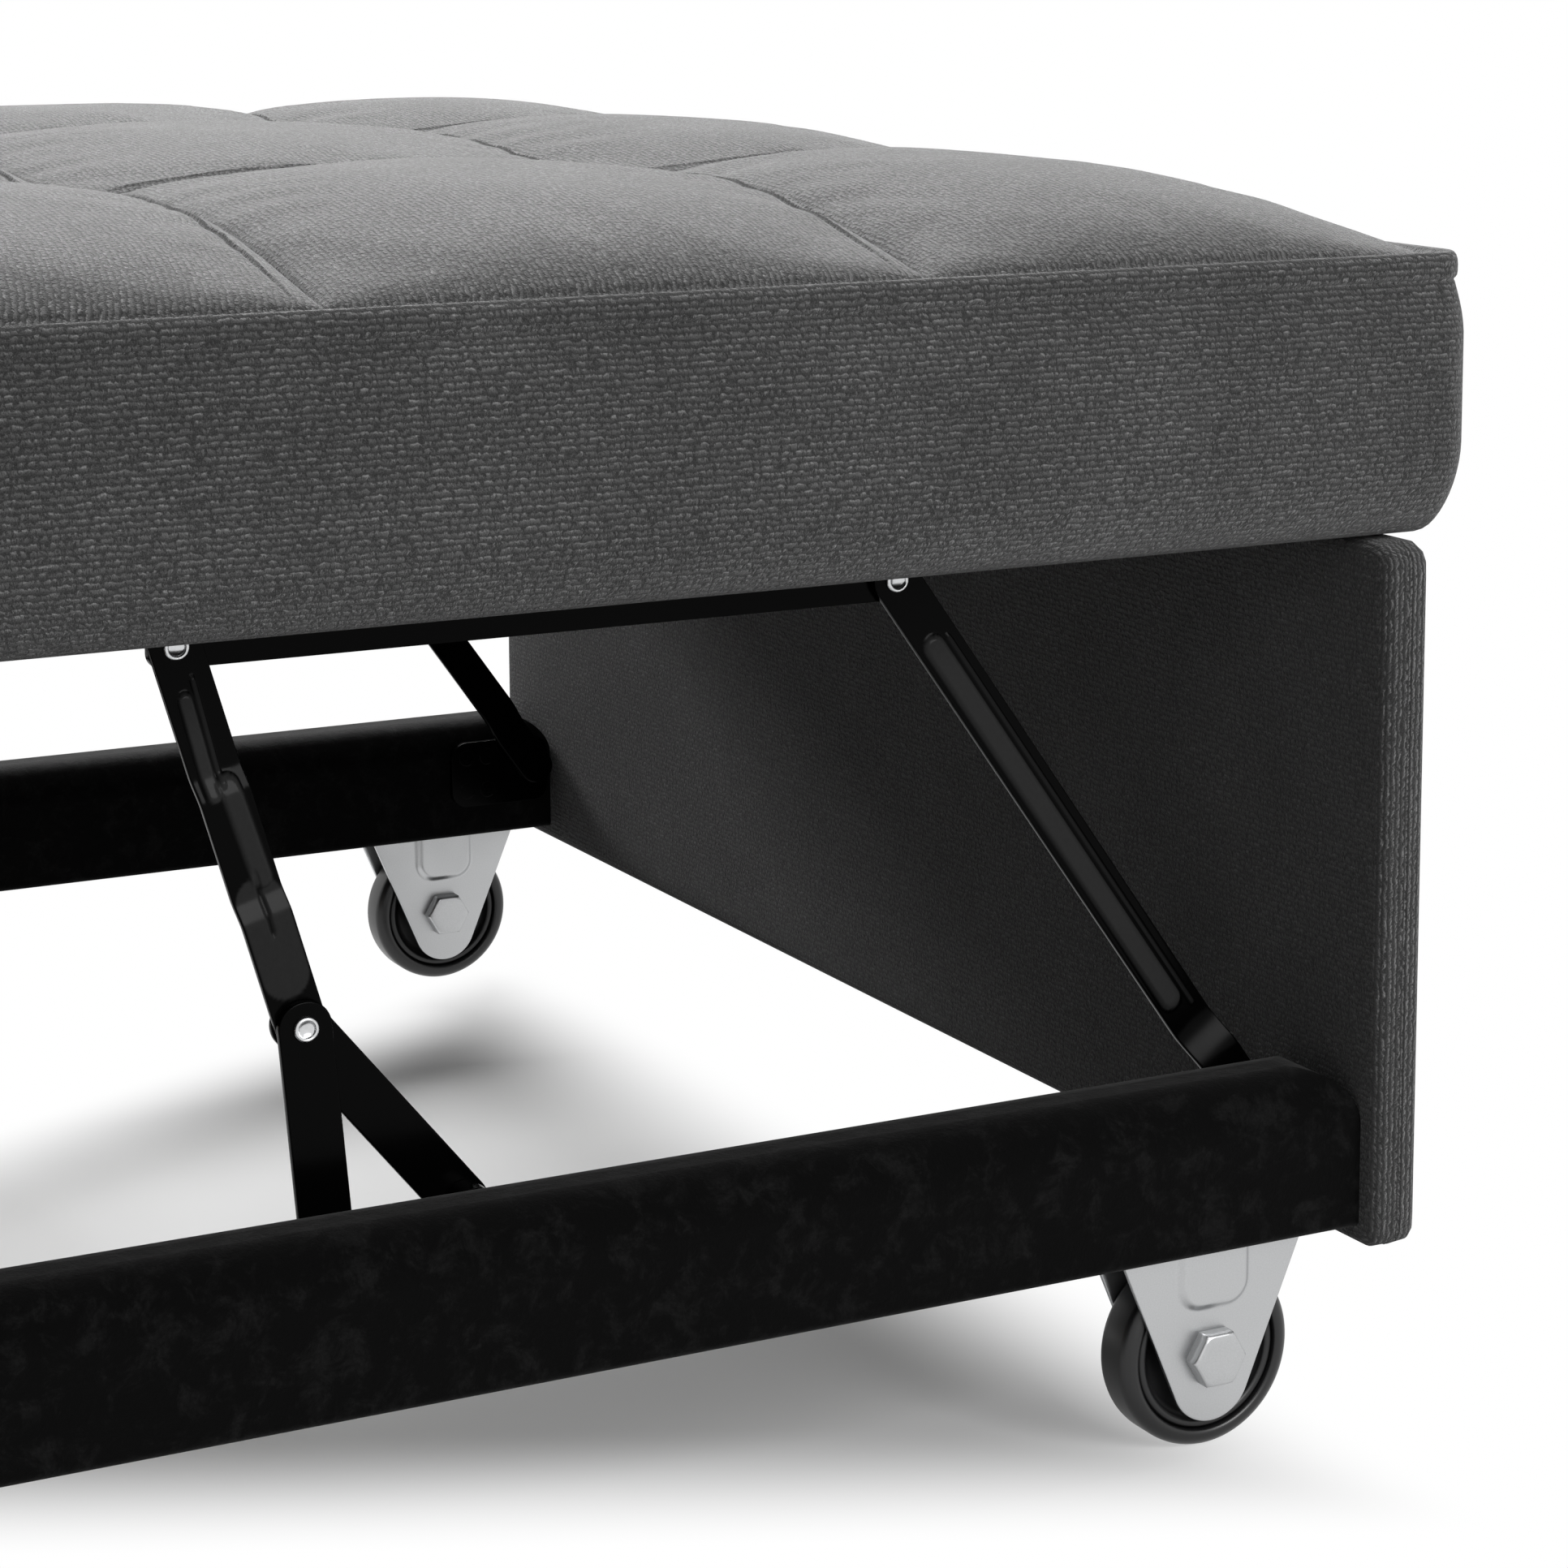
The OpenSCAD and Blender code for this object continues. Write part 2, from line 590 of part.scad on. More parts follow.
// Part of a ring with round ends, as deep as the guide plate
module slot_ring() {
  w = guide_pin_d + 2 * guide_play;
  depth = plate_t + 2 * cut;
  rotate_extrude(angle = guide_sweep, $fn = 96) translate([guide_r - w / 2, 0]) square([w, depth]);
  for (a = [0, guide_sweep]) rotate([0, 0, a]) translate([guide_r, 0, 0]) cylinder(h = depth, d = w);
}
module right_stay_guide() stay_guide("right");
module left_stay_guide() stay_guide("left");

// Countersunk screws of the brackets and the guides
module at_bracket_screws() for (y = [bracket_back - 2 * bracket_r, bracket_back + bracket_gap - bracket_r],
  z = [front_pivot_z - bracket_drop + bracket_r, plate_top_z - bracket_r])
  translate([-rail_in_x + plate_t, y, z]) rotate([0, 0, 180]) children();
guide_screw_in = 5.5;
module at_guide_screws() for (p = [[guide_front_y + guide_screw_in, guide_low_z + guide_screw_in],
  [guide_back_y - guide_screw_in, guide_low_z + guide_screw_in],
  [guide_y + guide_r / 3, guide_top_z - bracket_r]])
  translate([-rail_in_x + plate_t, p[0], p[1]]) rotate([0, 0, 180]) children();
module at_plate_screws() {
  at_bracket_screws() children();
  at_guide_screws() children();
}
module flush_hole() translate([-cut / 1000, 0, 0]) flush_screw(screw_len);
module bracket_screws() color("#b9bbbd") placed() both_sides() at_plate_screws() flush_screw(screw_len);

// Rear rollers on stub axles outside the rails
roller_in = 22;
roller_y = rail_len - roller_in;
roller_z = rail_z + rail_h / 2;
roller_x = chair_in_x - track_t - roller_w - roller_gap;
axle_d = 6;
axle_grip = 30;
axle_head_h = 1.2;
module roller_axles() color("#b9bbbd") placed() both_sides() translate([0, roller_y, roller_z]) {
  rod_x(-roller_x - roller_w + axle_head_h, -rail_out_x + axle_grip, axle_d);
  rod_x(-roller_x, -rail_out_x, axle_d + 2 * axle_head_h);
}
module rear_roller(side) color("#e4e2da") placed() on_side(side)
  translate([0, roller_y, roller_z]) difference() {
    rod_x(-roller_x - roller_w, -roller_x - link_gap, roller_d);
    rod_x(-roller_x - roller_w - cut, -roller_x + cut, axle_d + 2 * pivot_fit);
  }
module right_rear_roller() rear_roller("right");
module left_rear_roller() rear_roller("left");

// Side profile of a pressed strap that steps sideways at given distances from its first pivot
module stepped_profile(steps, len, x0, each_step) {
  run = each_step * 3 / 2;
  over = arm_w;
  near = concat([[x0, -over]], [for (n = [0:len(steps) - 1])
    each [[x0 + n * each_step, steps[n] - run], [x0 + (n + 1) * each_step, steps[n] + run]]],
    [[x0 + len(steps) * each_step, len + over]]);
  polygon(concat(near, [for (n = [len(near) - 1:-1:0]) near[n] + [arm_t, 0]]));
}

// Pressed rib along a strap: a rounded bar that stands out of its face
module rib(from, to, face_x) {
  r = arm_w / 4;
  intersection() {
    translate([face_x + r - rib_h, 0, 0]) {
      translate([0, 0, from]) sphere(r);
      translate([0, 0, to]) sphere(r);
      translate([0, 0, from]) cylinder(h = to - from, r = r);
    }
    translate([face_x - rib_h, -arm_w, from - arm_w])
      cube([rib_h + arm_t / 2, 2 * arm_w, to - from + 2 * arm_w]);
  }
}

// Front arm: from the bracket's pivot up to the top bar
front_step_share = 0.12;
front_rib_shares = [0.2, 0.9];
module front_arm(side) color("#161617") placed() on_side(side) translate([0, front_pivot_y, front_pivot_z])
  rotate([front_arm_angle - 90, 0, 0]) difference() {
    union() {
      intersection() {
        along_y(-arm_w, arm_w) stepped_profile([front_step_share * front_arm_len], front_arm_len,
          -lower_arm_x - arm_t, joggle);
        along_x(-rail_in_x, 0) strap(front_arm_len, arm_w);
      }
      rib(front_rib_shares[0] * front_arm_len, front_rib_shares[1] * front_arm_len,
        -upper_arm_x - arm_t);
    }
    rod_x(-rail_in_x, 0, pivot_shank_d + 2 * pivot_fit);
    translate([0, 0, front_arm_len]) rod_x(-rail_in_x, 0, rivet_d + 2 * pivot_fit);
  }
module right_front_arm() front_arm("right");
module left_front_arm() front_arm("left");

// Tubular rivet from an outer face to an inner one, hollow at its outer head
rivet_hole_share = 0.45;
module rivet(out_x, in_x) difference() {
  union() {
    rod_x(out_x, in_x, rivet_d);
    rod_x(out_x - rivet_head_h, out_x, rivet_head_d);
    rod_x(in_x, in_x + rivet_head_h, rivet_head_d);
  }
  rod_x(out_x - rivet_head_h - cut, out_x + rivet_head_h, rivet_head_d * rivet_hole_share);
}
module front_arm_rivets() color("#cfd1d3") placed() both_sides() translate([0, front_top_y, top_pivot_z])
  rivet(-upper_arm_x - arm_t, -bar_x);
module rear_arm_rivets() color("#cfd1d3") placed() both_sides() translate([0, rear_top_y, top_pivot_z])
  rivet(-upper_arm_x - arm_t, -bar_x);

// Angle bar under the cushion's board
bar_end = 8;
bar_front_y = front_top_y - bar_end;
bar_rear_y = rear_top_y + bar_end;
bar_corner_r = 5;
module top_bar(side) color("#161617") placed() on_side(side) difference() {
  union() {
    along_x(-bar_x - arm_t, -bar_x) translate([bar_front_y, bar_bottom_z]) {
      rounded_rect(bar_rear_y - bar_front_y, bar_leg, bar_corner_r);
      translate([0, bar_leg / 2]) square([bar_rear_y - bar_front_y, bar_leg / 2]);
    }
    translate([-bar_x - arm_t, bar_front_y, base_z - arm_t])
      cube([bar_leg, bar_rear_y - bar_front_y, arm_t]);
  }
  for (y = [front_top_y, rear_top_y]) translate([0, y, top_pivot_z])
    rod_x(-rail_in_x, 0, rivet_d + 2 * pivot_fit);
  at_bar_screws() cylinder(h = 2 * arm_t, d = screw_d + 2 * pivot_fit);
}
module right_top_bar() top_bar("right");
module left_top_bar() top_bar("left");
bar_screw_shares = [0.1, 0.5, 0.9];
bar_screw_in_share = 0.6;
module at_bar_screws() for (t = bar_screw_shares)
  translate([-bar_x - arm_t + bar_leg * bar_screw_in_share,
    bar_front_y + t * (bar_rear_y - bar_front_y), base_z - arm_t]) children();
bar_screw_len = 14;
module top_bar_screws() color("#b9bbbd") placed() both_sides() at_bar_screws() {
  cylinder(h = bar_screw_len, d = screw_d);
  translate([0, 0, -screw_head_h]) cylinder(h = screw_head_h, d = screw_head_d);
}

// Plywood inside a cushion, with round corners
board_r = 20;
module board(hw, y0, len) translate([-hw + board_inset, y0 + board_inset, base_z])
  linear_extrude(board_t) rounded_rect(2 * (hw - board_inset), len - 2 * board_inset, board_r);
module extension_board() color("#b08a5c") placed() difference() {
  board(ext_hw, ext_front_y, ext_len);
  both_sides() at_bar_screws() cylinder(h = bar_screw_len + cut, d = screw_d + 2 * pivot_fit);
}
module pad_over_board(hw, y0, len, columns, rows) placed()
  tufted_pad(hw, y0, len, base_z + seat_fit, columns, rows, cell_facets, board_inset - seat_fit, board_t);
module extension_cushion() color("#57585a")
  pad_over_board(ext_hw, ext_front_y, ext_len, third_shares, third_shares);

// Rear arm: from the top bar down to the knee
rear_step_shares = [0.32, 0.64];
rear_rib_shares = [0.13, 0.27, 0.71, 0.87];
rear_arm_angle = atan2(knee_drop, knee_back);
module rear_arm(side) color("#161617") placed() on_side(side) translate([0, knee_y, knee_z])
  rotate([rear_arm_angle - 90, 0, 0]) difference() {
    union() {
      intersection() {
        along_y(-arm_w, arm_w) stepped_profile(rear_step_shares * rear_arm_len, rear_arm_len,
          -lower_arm_x - arm_t, joggle / 2);
        along_x(-rail_in_x, 0) strap(rear_arm_len, arm_w);
      }
      rib(rear_rib_shares[0] * rear_arm_len, rear_rib_shares[1] * rear_arm_len, -lower_arm_x - arm_t);
      rib(rear_rib_shares[2] * rear_arm_len, rear_rib_shares[3] * rear_arm_len, -upper_arm_x - arm_t);
    }
    for (z = [0, rear_arm_len]) translate([0, 0, z]) rod_x(-rail_in_x, 0, rivet_d + 2 * pivot_fit);
  }
module right_rear_arm() rear_arm("right");
module left_rear_arm() rear_arm("left");
module knee_rivets() color("#cfd1d3") placed() both_sides() translate([0, knee_y, knee_z])
  rivet(-prop_x - arm_t, -stay_x);

// Prop link from the knee down to a pin in the guide's slot
prop_tilt = atan2(prop_lean, knee_z - prop_pin_z);
module prop_link(side) color("#161617") placed() on_side(side) translate([0, prop_pin_y, prop_pin_z]) {
  rotate([-prop_tilt, 0, 0]) difference() {
    along_x(-prop_x - arm_t, -prop_x) strap(prop_len, link_w);
    translate([0, 0, prop_len]) rod_x(-rail_in_x, 0, rivet_d + 2 * pivot_fit);
  }
  rod_x(-rail_in_x + link_gap, -prop_x - arm_t, guide_pin_d);
}
module right_prop_link() prop_link("right");
module left_prop_link() prop_link("left");

// Diagonal stay from the knee forward to its foot beside the guide's boss
module stay(side) color("#161617") placed() on_side(side) translate([0, stay_foot_y, stay_foot_z])
  rotate([stay_angle - 90, 0, 0]) difference() {
    along_x(-stay_x - arm_t, -stay_x) strap(stay_len, link_w);
    for (z = [0, stay_len]) translate([0, 0, z]) rod_x(-rail_in_x, 0, rivet_d + 2 * pivot_fit);
  }
module right_stay() stay("right");
module left_stay() stay("left");

// Padded arm of the chair
arm_edge_r = 12;
module armrest(side) color("#57585a") placed() on_side(side) intersection() {
  along_y(chair_front_y, chair_rear_y) translate([-chair_in_x - chair_arm_w, panel_z])
    arched_rect(chair_arm_w, chair_arm_z - panel_z, chair_arm_r, arm_edge_r);
  along_x(-chair_in_x - chair_arm_w, -chair_in_x) translate([chair_front_y, panel_z])
    rounded_rect(chair_arm_len, chair_arm_z - panel_z, arm_edge_r);
}
module right_armrest() armrest("right");
module left_armrest() armrest("left");

// Lower rear panel between the arms, under the backrest
rear_panel_in = 14;
module rear_panel() color("#57585a") placed()
  translate([-chair_in_x, chair_rear_y - rear_panel_in - rear_panel_t, panel_z])
    cube([2 * chair_in_x, rear_panel_t, back_board_z - seat_fit - panel_z]);

// Timbers under the seat, fixed between the arms
seat_rail_z = base_z - seat_rail_h;
module seat_timber(y) translate([-chair_in_x, y, seat_rail_z])
  cube([2 * chair_in_x, seat_rail_w, seat_rail_h]);
seat_timber_in = 8;
seat_timber_front_y = seat_front_y + seat_timber_in;
seat_timber_rear_y = seat_rear_y - seat_timber_in - seat_rail_w;
module seat_front_timber() color("#8a6b48") placed() seat_timber(seat_timber_front_y);
module seat_rear_timber() color("#8a6b48") placed() seat_timber(seat_timber_rear_y);
module seat_side_timbers() color("#8a6b48") placed() both_sides()
  translate([-chair_in_x, seat_timber_front_y + seat_rail_w, seat_rail_z])
    cube([seat_rail_w, seat_timber_rear_y - seat_timber_front_y - seat_rail_w, seat_rail_h]);
module seat_board() color("#b08a5c") placed() board(seat_hw, seat_front_y, seat_len);
module seat_cushion() color("#57585a")
  pad_over_board(seat_hw, seat_front_y, seat_len, third_shares, third_shares);

// Steel track for a rear roller
track_start = 22;
track_front_y = chair_front_y + track_start;
track_rear_y = chair_rear_y - rear_panel_in - rear_panel_t;
module track(side) color("#2a2a2b") placed() on_side(side) along_y(track_front_y, track_rear_y)
  translate([-chair_in_x, roller_z - track_h / 2]) difference() {
    square([track_depth, track_h]);
    translate([track_t, track_t]) square([track_depth, track_h - 2 * track_t]);
  }
module right_track() track("right");
module left_track() track("left");

// Tapered feet under the arms
foot_in = 60;
module feet() color("#141415") placed() both_sides()
  for (y = [chair_front_y + foot_in, chair_rear_y - foot_in])
  translate([-chair_in_x - chair_arm_w / 2, y, 0]) cylinder(h = panel_z, d1 = foot_d, d2 = foot_top_d);

// Fixed hinge plate on the arm, with a boss that stands off the moving arm
hinge_plate_r = 26;
hinge_out_x = chair_in_x - hinge_t;
hinge_stand_off = 3.5;
hinge_arm_x = hinge_out_x - hinge_stand_off - hinge_t;
module hinge_plate(side) color("#2a2a2b") placed() on_side(side)
  translate([0, back_pivot_y, back_pivot_z]) difference() {
    union() {
      along_x(-chair_in_x, -hinge_out_x) {
        circle(hinge_plate_r);
        translate([0, -hinge_plate_r]) square([2 * hinge_plate_r, 2 * hinge_plate_r]);
      }
      rod_x(-chair_in_x, -hinge_arm_x - hinge_t - link_gap, 2 * hinge_pin_d);
    }
    rod_x(-chair_in_x - cut, 0, hinge_pin_d + 2 * pivot_fit);
  }
module right_hinge_plate() hinge_plate("right");
module left_hinge_plate() hinge_plate("left");
module hinge_pins() color("#b9bbbd") placed() both_sides() translate([0, back_pivot_y, back_pivot_z]) {
  rod_x(-chair_in_x, -hinge_arm_x + link_gap, hinge_pin_d);
  rod_x(-hinge_arm_x + link_gap, -hinge_arm_x + link_gap + rivet_head_h, hinge_pin_d * 3 / 2);
}

// Turns a piece of the flat backrest up about its pivot
module raised() translate([0, back_pivot_y, back_pivot_z]) rotate([back_raise, 0, 0])
  translate([0, -back_pivot_y, -back_pivot_z]) children();
module backrest_board() color("#3a3a3c") placed() raised()
  translate([-hinge_arm_x, back_front_y, back_board_z])
    linear_extrude(back_board_t) rounded_rect(2 * hinge_arm_x, back_len, board_r);
module backrest_cushion() color("#57585a") placed() raised()
  tufted_pad(back_hw, back_front_y, back_len, base_z + seat_fit, third_shares, third_shares,
    cell_facets, 0, 0);

// Moving hinge arm, fixed to the side of the backrest's board
hinge_arm_len = 96;
module hinge_arm(side) color("#2a2a2b") placed() raised() on_side(side) difference() {
  along_x(-hinge_arm_x - hinge_t, -hinge_arm_x) {
    translate([back_pivot_y, back_pivot_z]) circle(hinge_pin_d);
    translate([back_pivot_y - hinge_pin_d, back_board_z]) {
      square([2 * hinge_pin_d, back_pivot_z - back_board_z]);
      square([hinge_arm_len, back_board_t]);
    }
  }
  translate([0, back_pivot_y, back_pivot_z]) rod_x(-chair_in_x, 0, hinge_pin_d + 2 * pivot_fit);
}
module right_hinge_arm() hinge_arm("right");
module left_hinge_arm() hinge_arm("left");

front_panel();
panel_screws();
right_rail();
left_rail();
rear_crossbar();
right_castor_fork();
left_castor_fork();
castor_screws();
axle_bolts();
axle_nuts();
right_castor_tyre();
right_castor_hub();
left_castor_tyre();
left_castor_hub();
right_arm_bracket();
left_arm_bracket();
right_stay_guide();
left_stay_guide();
bracket_screws();
roller_axles();
right_rear_roller();
left_rear_roller();
right_front_arm();
left_front_arm();
front_arm_rivets();
right_top_bar();
left_top_bar();
extension_board();
extension_cushion();
rear_arm_rivets();
top_bar_screws();
right_rear_arm();
left_rear_arm();
knee_rivets();
right_prop_link();
left_prop_link();
right_stay();
left_stay();
right_armrest();
left_armrest();
rear_panel();
seat_front_timber();
seat_rear_timber();
seat_side_timbers();
seat_board();
seat_cushion();
right_track();
left_track();
feet();
right_hinge_plate();
left_hinge_plate();
hinge_pins();
backrest_board();
backrest_cushion();
right_hinge_arm();
left_hinge_arm();
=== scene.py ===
"""Looks of a single chair bed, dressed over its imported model.

Lengths are millimetres until a mesh is made. Y is measured from the inner face of the front panel, X from
the middle of the bed (negative on the sitter's right) and Z from the floor.
"""

import json
import logging
import math
from dataclasses import dataclass, field
from enum import Enum
from typing import Any, Callable

import bmesh
import bpy
import numpy as np
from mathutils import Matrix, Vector


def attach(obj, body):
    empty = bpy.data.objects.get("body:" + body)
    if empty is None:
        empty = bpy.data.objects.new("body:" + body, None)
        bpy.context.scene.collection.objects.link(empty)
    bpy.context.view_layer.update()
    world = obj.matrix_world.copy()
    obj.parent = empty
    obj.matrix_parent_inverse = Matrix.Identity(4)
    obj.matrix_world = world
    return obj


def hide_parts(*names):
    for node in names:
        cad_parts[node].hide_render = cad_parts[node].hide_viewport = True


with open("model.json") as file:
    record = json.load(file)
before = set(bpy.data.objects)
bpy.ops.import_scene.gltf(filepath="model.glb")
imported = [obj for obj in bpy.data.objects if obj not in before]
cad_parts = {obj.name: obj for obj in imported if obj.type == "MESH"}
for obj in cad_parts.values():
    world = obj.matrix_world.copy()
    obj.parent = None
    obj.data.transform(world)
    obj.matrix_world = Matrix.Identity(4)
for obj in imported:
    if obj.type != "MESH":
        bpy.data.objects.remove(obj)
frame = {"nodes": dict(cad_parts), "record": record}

log = logging.getLogger("chair_bed")
Array = np.ndarray
Height = Callable[[Array, Array], Array]
Tree = bpy.types.NodeTree
Socket = bpy.types.NodeSocket
Piece = bpy.types.Object
Pair = tuple[float, float]
Triple = tuple[float, float, float]
Rings = list[Pair]

MM = 0.001
MIDDLE_Y = 754.75
CLOTH_MAP = "cloth"
SMOOTH = {"interpolation_type": "SMOOTHSTEP"}
FLAT = {"noise_dimensions": "2D"}
COLOURS = {"data_type": "RGBA"}


class Side(Enum):
    """The sitter's right (-X, the camera's side) or left."""

    RIGHT = -1.0
    LEFT = 1.0


def linear(hex_colour: str) -> tuple[float, float, float, float]:
    """Turns an sRGB hex colour to linear light.

    Args:
        hex_colour: six hex digits after a "#".

    Returns:
        Red, green, blue and an alpha of 1.
    """
    shares = [int(hex_colour[i:i + 2], 16) / 255 for i in (1, 3, 5)]
    return (*[c / 12.92 if c <= 0.04045 else ((c + 0.055) / 1.055) ** 2.4 for c in shares], 1.0)


def put(tree: Tree, kind: str, inputs: dict[Any, Any] | None = None, **settings: Any) -> Any:
    """Adds a node, sets its options, and sets or links its inputs.

    Args:
        tree: the node tree.
        kind: the node's type name without its "ShaderNode".
        inputs: value, output socket, or node that stands for its first output, for each input.
        settings: options of the node itself.

    Returns:
        The new node.
    """
    node = tree.nodes.new(f"ShaderNode{kind}")
    for name, value in settings.items():
        setattr(node, name, value)
    for key, value in (inputs or {}).items():
        if isinstance(value, (bpy.types.Node, Socket)):
            tree.links.new(value if isinstance(value, Socket) else value.outputs[0], node.inputs[key])
        else:
            node.inputs[key].default_value = value
    return node


def span(low: float, high: float, to_low: float = 0.0, to_high: float = 1.0) -> dict[str, float]:
    """The four numbers that carry low to to_low and high to to_high, by their inputs' names."""
    return {"From Min": low, "From Max": high, "To Min": to_low, "To Max": to_high}


# Finishes


@dataclass(frozen=True)
class Finish:
    """A surface finish. Each kind builds its own nodes once and keeps the material."""

    name: str

    def nodes(self, tree: Tree) -> Socket:
        """Builds the nodes and returns the shader's output.

        Args:
            tree: the material's node tree.

        Returns:
            The shader's output socket.
        """
        raise NotImplementedError

    def place_mm(self, tree: Tree, shares: Triple = (1.0, 1.0, 1.0)) -> bpy.types.Node:
        """Adds the nodes for the point on the object in millimetres, times a share for each axis.

        Args:
            tree: the material's node tree.
            shares: what each axis is multiplied by.

        Returns:
            The node whose first output is the point.
        """
        where = put(tree, "TexCoord")
        scale = tuple(1000 * share for share in shares)
        return put(tree, "VectorMath", {0: where.outputs["Object"], 1: scale}, operation="MULTIPLY")

    def material(self) -> bpy.types.Material:
        """Returns the material, built the first time that it is asked for.

        Returns:
            The material.
        """
        found = bpy.data.materials.get(self.name)
        if found:
            return found
        made = bpy.data.materials.new(self.name)
        made.use_nodes = True
        made.node_tree.nodes.clear()
        out = put(made.node_tree, "OutputMaterial")
        made.node_tree.links.new(self.nodes(made.node_tree), out.inputs["Surface"])
        return made

    def dress(self, *pieces: Piece) -> None:
        """Puts the material on whole pieces."""
        for piece in pieces:
            piece.data.materials.clear()
            piece.data.materials.append(self.material())


@dataclass(frozen=True)
class SlubWeave(Finish):
    """Polyester linen-look weave: rows of lumpy yarn, with a painted highlight along their upper edges and
    painted shade in between.

    The real yarn is about 1 mm thick and two picks lie side by side, so that a row is 2.15 mm high.
    """

    yarn_hex: str = "#585858"
    gap_shade_hex: str = "#252525"
    painted_highlight_hex: str = "#a0a0a0"
    row_mm: float = 2.15
    row_jump: float = 7.31
    lump_mm: float = 1.6
    stroke_mm: float = 3.6
    wander_mm: float = 0.7
    fuzz_mm: float = 0.45
    patch_mm: float = 55.0
    relief_mm: float = 0.6
    sheen: float = 0.35

    def yarn(self, tree: Tree, at_mm: Socket) -> tuple[Socket, ...]:
        """Shapes the rows of yarn.

        A point's height in its row is t = fract(y / row + lumps). The yarn rises slowly with t and falls
        quickly near the row's upper edge, and noise that is different in each row makes it thick and thin.

        Args:
            tree: the node tree.
            at_mm: the point on the cloth in millimetres.

        Returns:
            The yarn's thickness, and its upper edge, both from 0 to 1.
        """
        bend = put(tree, "TexNoise", {"Vector": at_mm, "Scale": 0.22, "Detail": 2.0}, **FLAT)
        shift = put(tree, "VectorMath", {0: bend.outputs["Color"], 1: (0.5, 0.5, 0.0)},
                    operation="SUBTRACT")
        reach = (2 * self.wander_mm, 2 * self.wander_mm, 0.0)
        warped = put(tree, "VectorMath", {0: shift, 1: reach, 2: at_mm}, operation="MULTIPLY_ADD")
        axes = put(tree, "SeparateXYZ", {0: warped})
        rows = put(tree, "Math", {0: axes.outputs[1], 1: self.row_mm}, operation="DIVIDE")
        index = put(tree, "Math", {0: rows}, operation="FLOOR")
        within = put(tree, "Math", {0: rows}, operation="FRACT")
        apart = put(tree, "Math", {0: index, 1: self.row_jump, 2: rows}, operation="MULTIPLY_ADD")
        along = put(tree, "Math", {0: axes, 1: self.lump_mm}, operation="DIVIDE")
        spot = put(tree, "CombineXYZ", {0: along, 1: apart})
        lumps = put(tree, "TexNoise", {"Vector": spot, "Scale": 1.0, "Detail": 2.0,
                    "Roughness": 0.6}, **FLAT)
        thick = put(tree, "MapRange", {"Value": lumps, **span(0.3, 0.68, 0.15, 1.0)}, **SMOOTH)
        rise = put(tree, "MapRange", {"Value": lumps, **span(0.25, 0.75, -0.22, 0.22)})
        t = put(tree, "Math", {0: within, 1: rise}, operation="SUBTRACT")
        belly = put(tree, "MapRange", {"Value": t, **span(-0.05, 0.5)}, **SMOOTH)
        brow = put(tree, "MapRange", {"Value": t, **span(0.62, 1.0, 1.0, 0.0)}, **SMOOTH)
        hump = put(tree, "Math", {0: belly, 1: brow}, operation="MULTIPLY")
        body = put(tree, "MapRange", {"Value": hump, "To Min": 0.22})
        yarn = put(tree, "Math", {0: body, 1: thick}, operation="MULTIPLY")
        crest = put(tree, "MapRange", {"Value": t, **span(0.5, 0.72)}, **SMOOTH)
        edge = put(tree, "Math", {0: crest, 1: yarn}, operation="MULTIPLY")
        return yarn.outputs[0], edge.outputs[0]

    def nodes(self, tree: Tree) -> Socket:
        """Colours the yarn by its thickness with painted shade in the gaps, paints a highlight on its upper
        edge in long strokes, and colours all of it by fine fuzz.

        Args:
            tree: the material's node tree.

        Returns:
            The shader's output socket.
        """
        cloth = put(tree, "UVMap", uv_map=CLOTH_MAP)
        at = put(tree, "VectorMath", {0: cloth, 1: (1000.0, 1000.0, 0.0)}, operation="MULTIPLY").outputs[0]
        yarn, edge = self.yarn(tree, at)
        fuzz = put(tree, "TexNoise", {"Vector": at, "Scale": 1 / self.fuzz_mm, "Detail": 2.0,
                   "Roughness": 0.7}, **FLAT)
        hairy = put(tree, "MapRange", {"Value": fuzz, **span(0.25, 0.75, -0.3, 0.3)})
        solid = put(tree, "Math", {0: hairy, 1: yarn}, operation="ADD", use_clamp=True)
        # Painted shade: the gaps between rows and thin yarn take the dark colour, as if shaded.
        base = put(tree, "Mix", {"Factor": solid, "A": linear(self.gap_shade_hex),
                   "B": linear(self.yarn_hex)}, **COLOURS)
        long_way = put(tree, "VectorMath", {0: at, 1: (1 / self.stroke_mm, 1 / self.row_mm, 0.0)},
                       operation="MULTIPLY")
        stroke = put(tree, "TexNoise", {"Vector": long_way, "Scale": 1.0, "Detail": 3.0}, **FLAT)
        picked = put(tree, "MapRange", {"Value": stroke, **span(0.42, 0.66, 0.0, 0.6)}, **SMOOTH)
        # Painted highlight: the rows' upper edges take the pale colour in long strokes, as if lit from
        # above.
        light = put(tree, "Math", {0: picked, 1: edge}, operation="MULTIPLY")
        lit = put(tree, "Mix", {"Factor": light, "A": base.outputs[2],
                  "B": linear(self.painted_highlight_hex)}, **COLOURS)
        patch = put(tree, "TexNoise", {"Vector": at, "Scale": 1 / self.patch_mm, "Detail": 5.0}, **FLAT)
        brushed = put(tree, "MapRange", {"Value": patch, **span(0.3, 0.7, 0.86, 1.14)})
        colour = put(tree, "VectorMath", {0: lit.outputs[2], "Scale": brushed}, operation="SCALE")
        relief = put(tree, "Math", {0: hairy, 1: 0.35, 2: yarn}, operation="MULTIPLY_ADD")
        bump = put(tree, "Bump", {"Height": relief, "Strength": 1.0, "Distance": self.relief_mm * MM})
        return put(tree, "BsdfPrincipled", {
            "Base Color": colour, "Roughness": 0.92, "Specular IOR Level": 0.25,
            "Sheen Weight": self.sheen, "Sheen Roughness": 0.45, "Sheen Tint": (0.85, 0.85, 0.85, 1),
            "Normal": bump}).outputs[0]


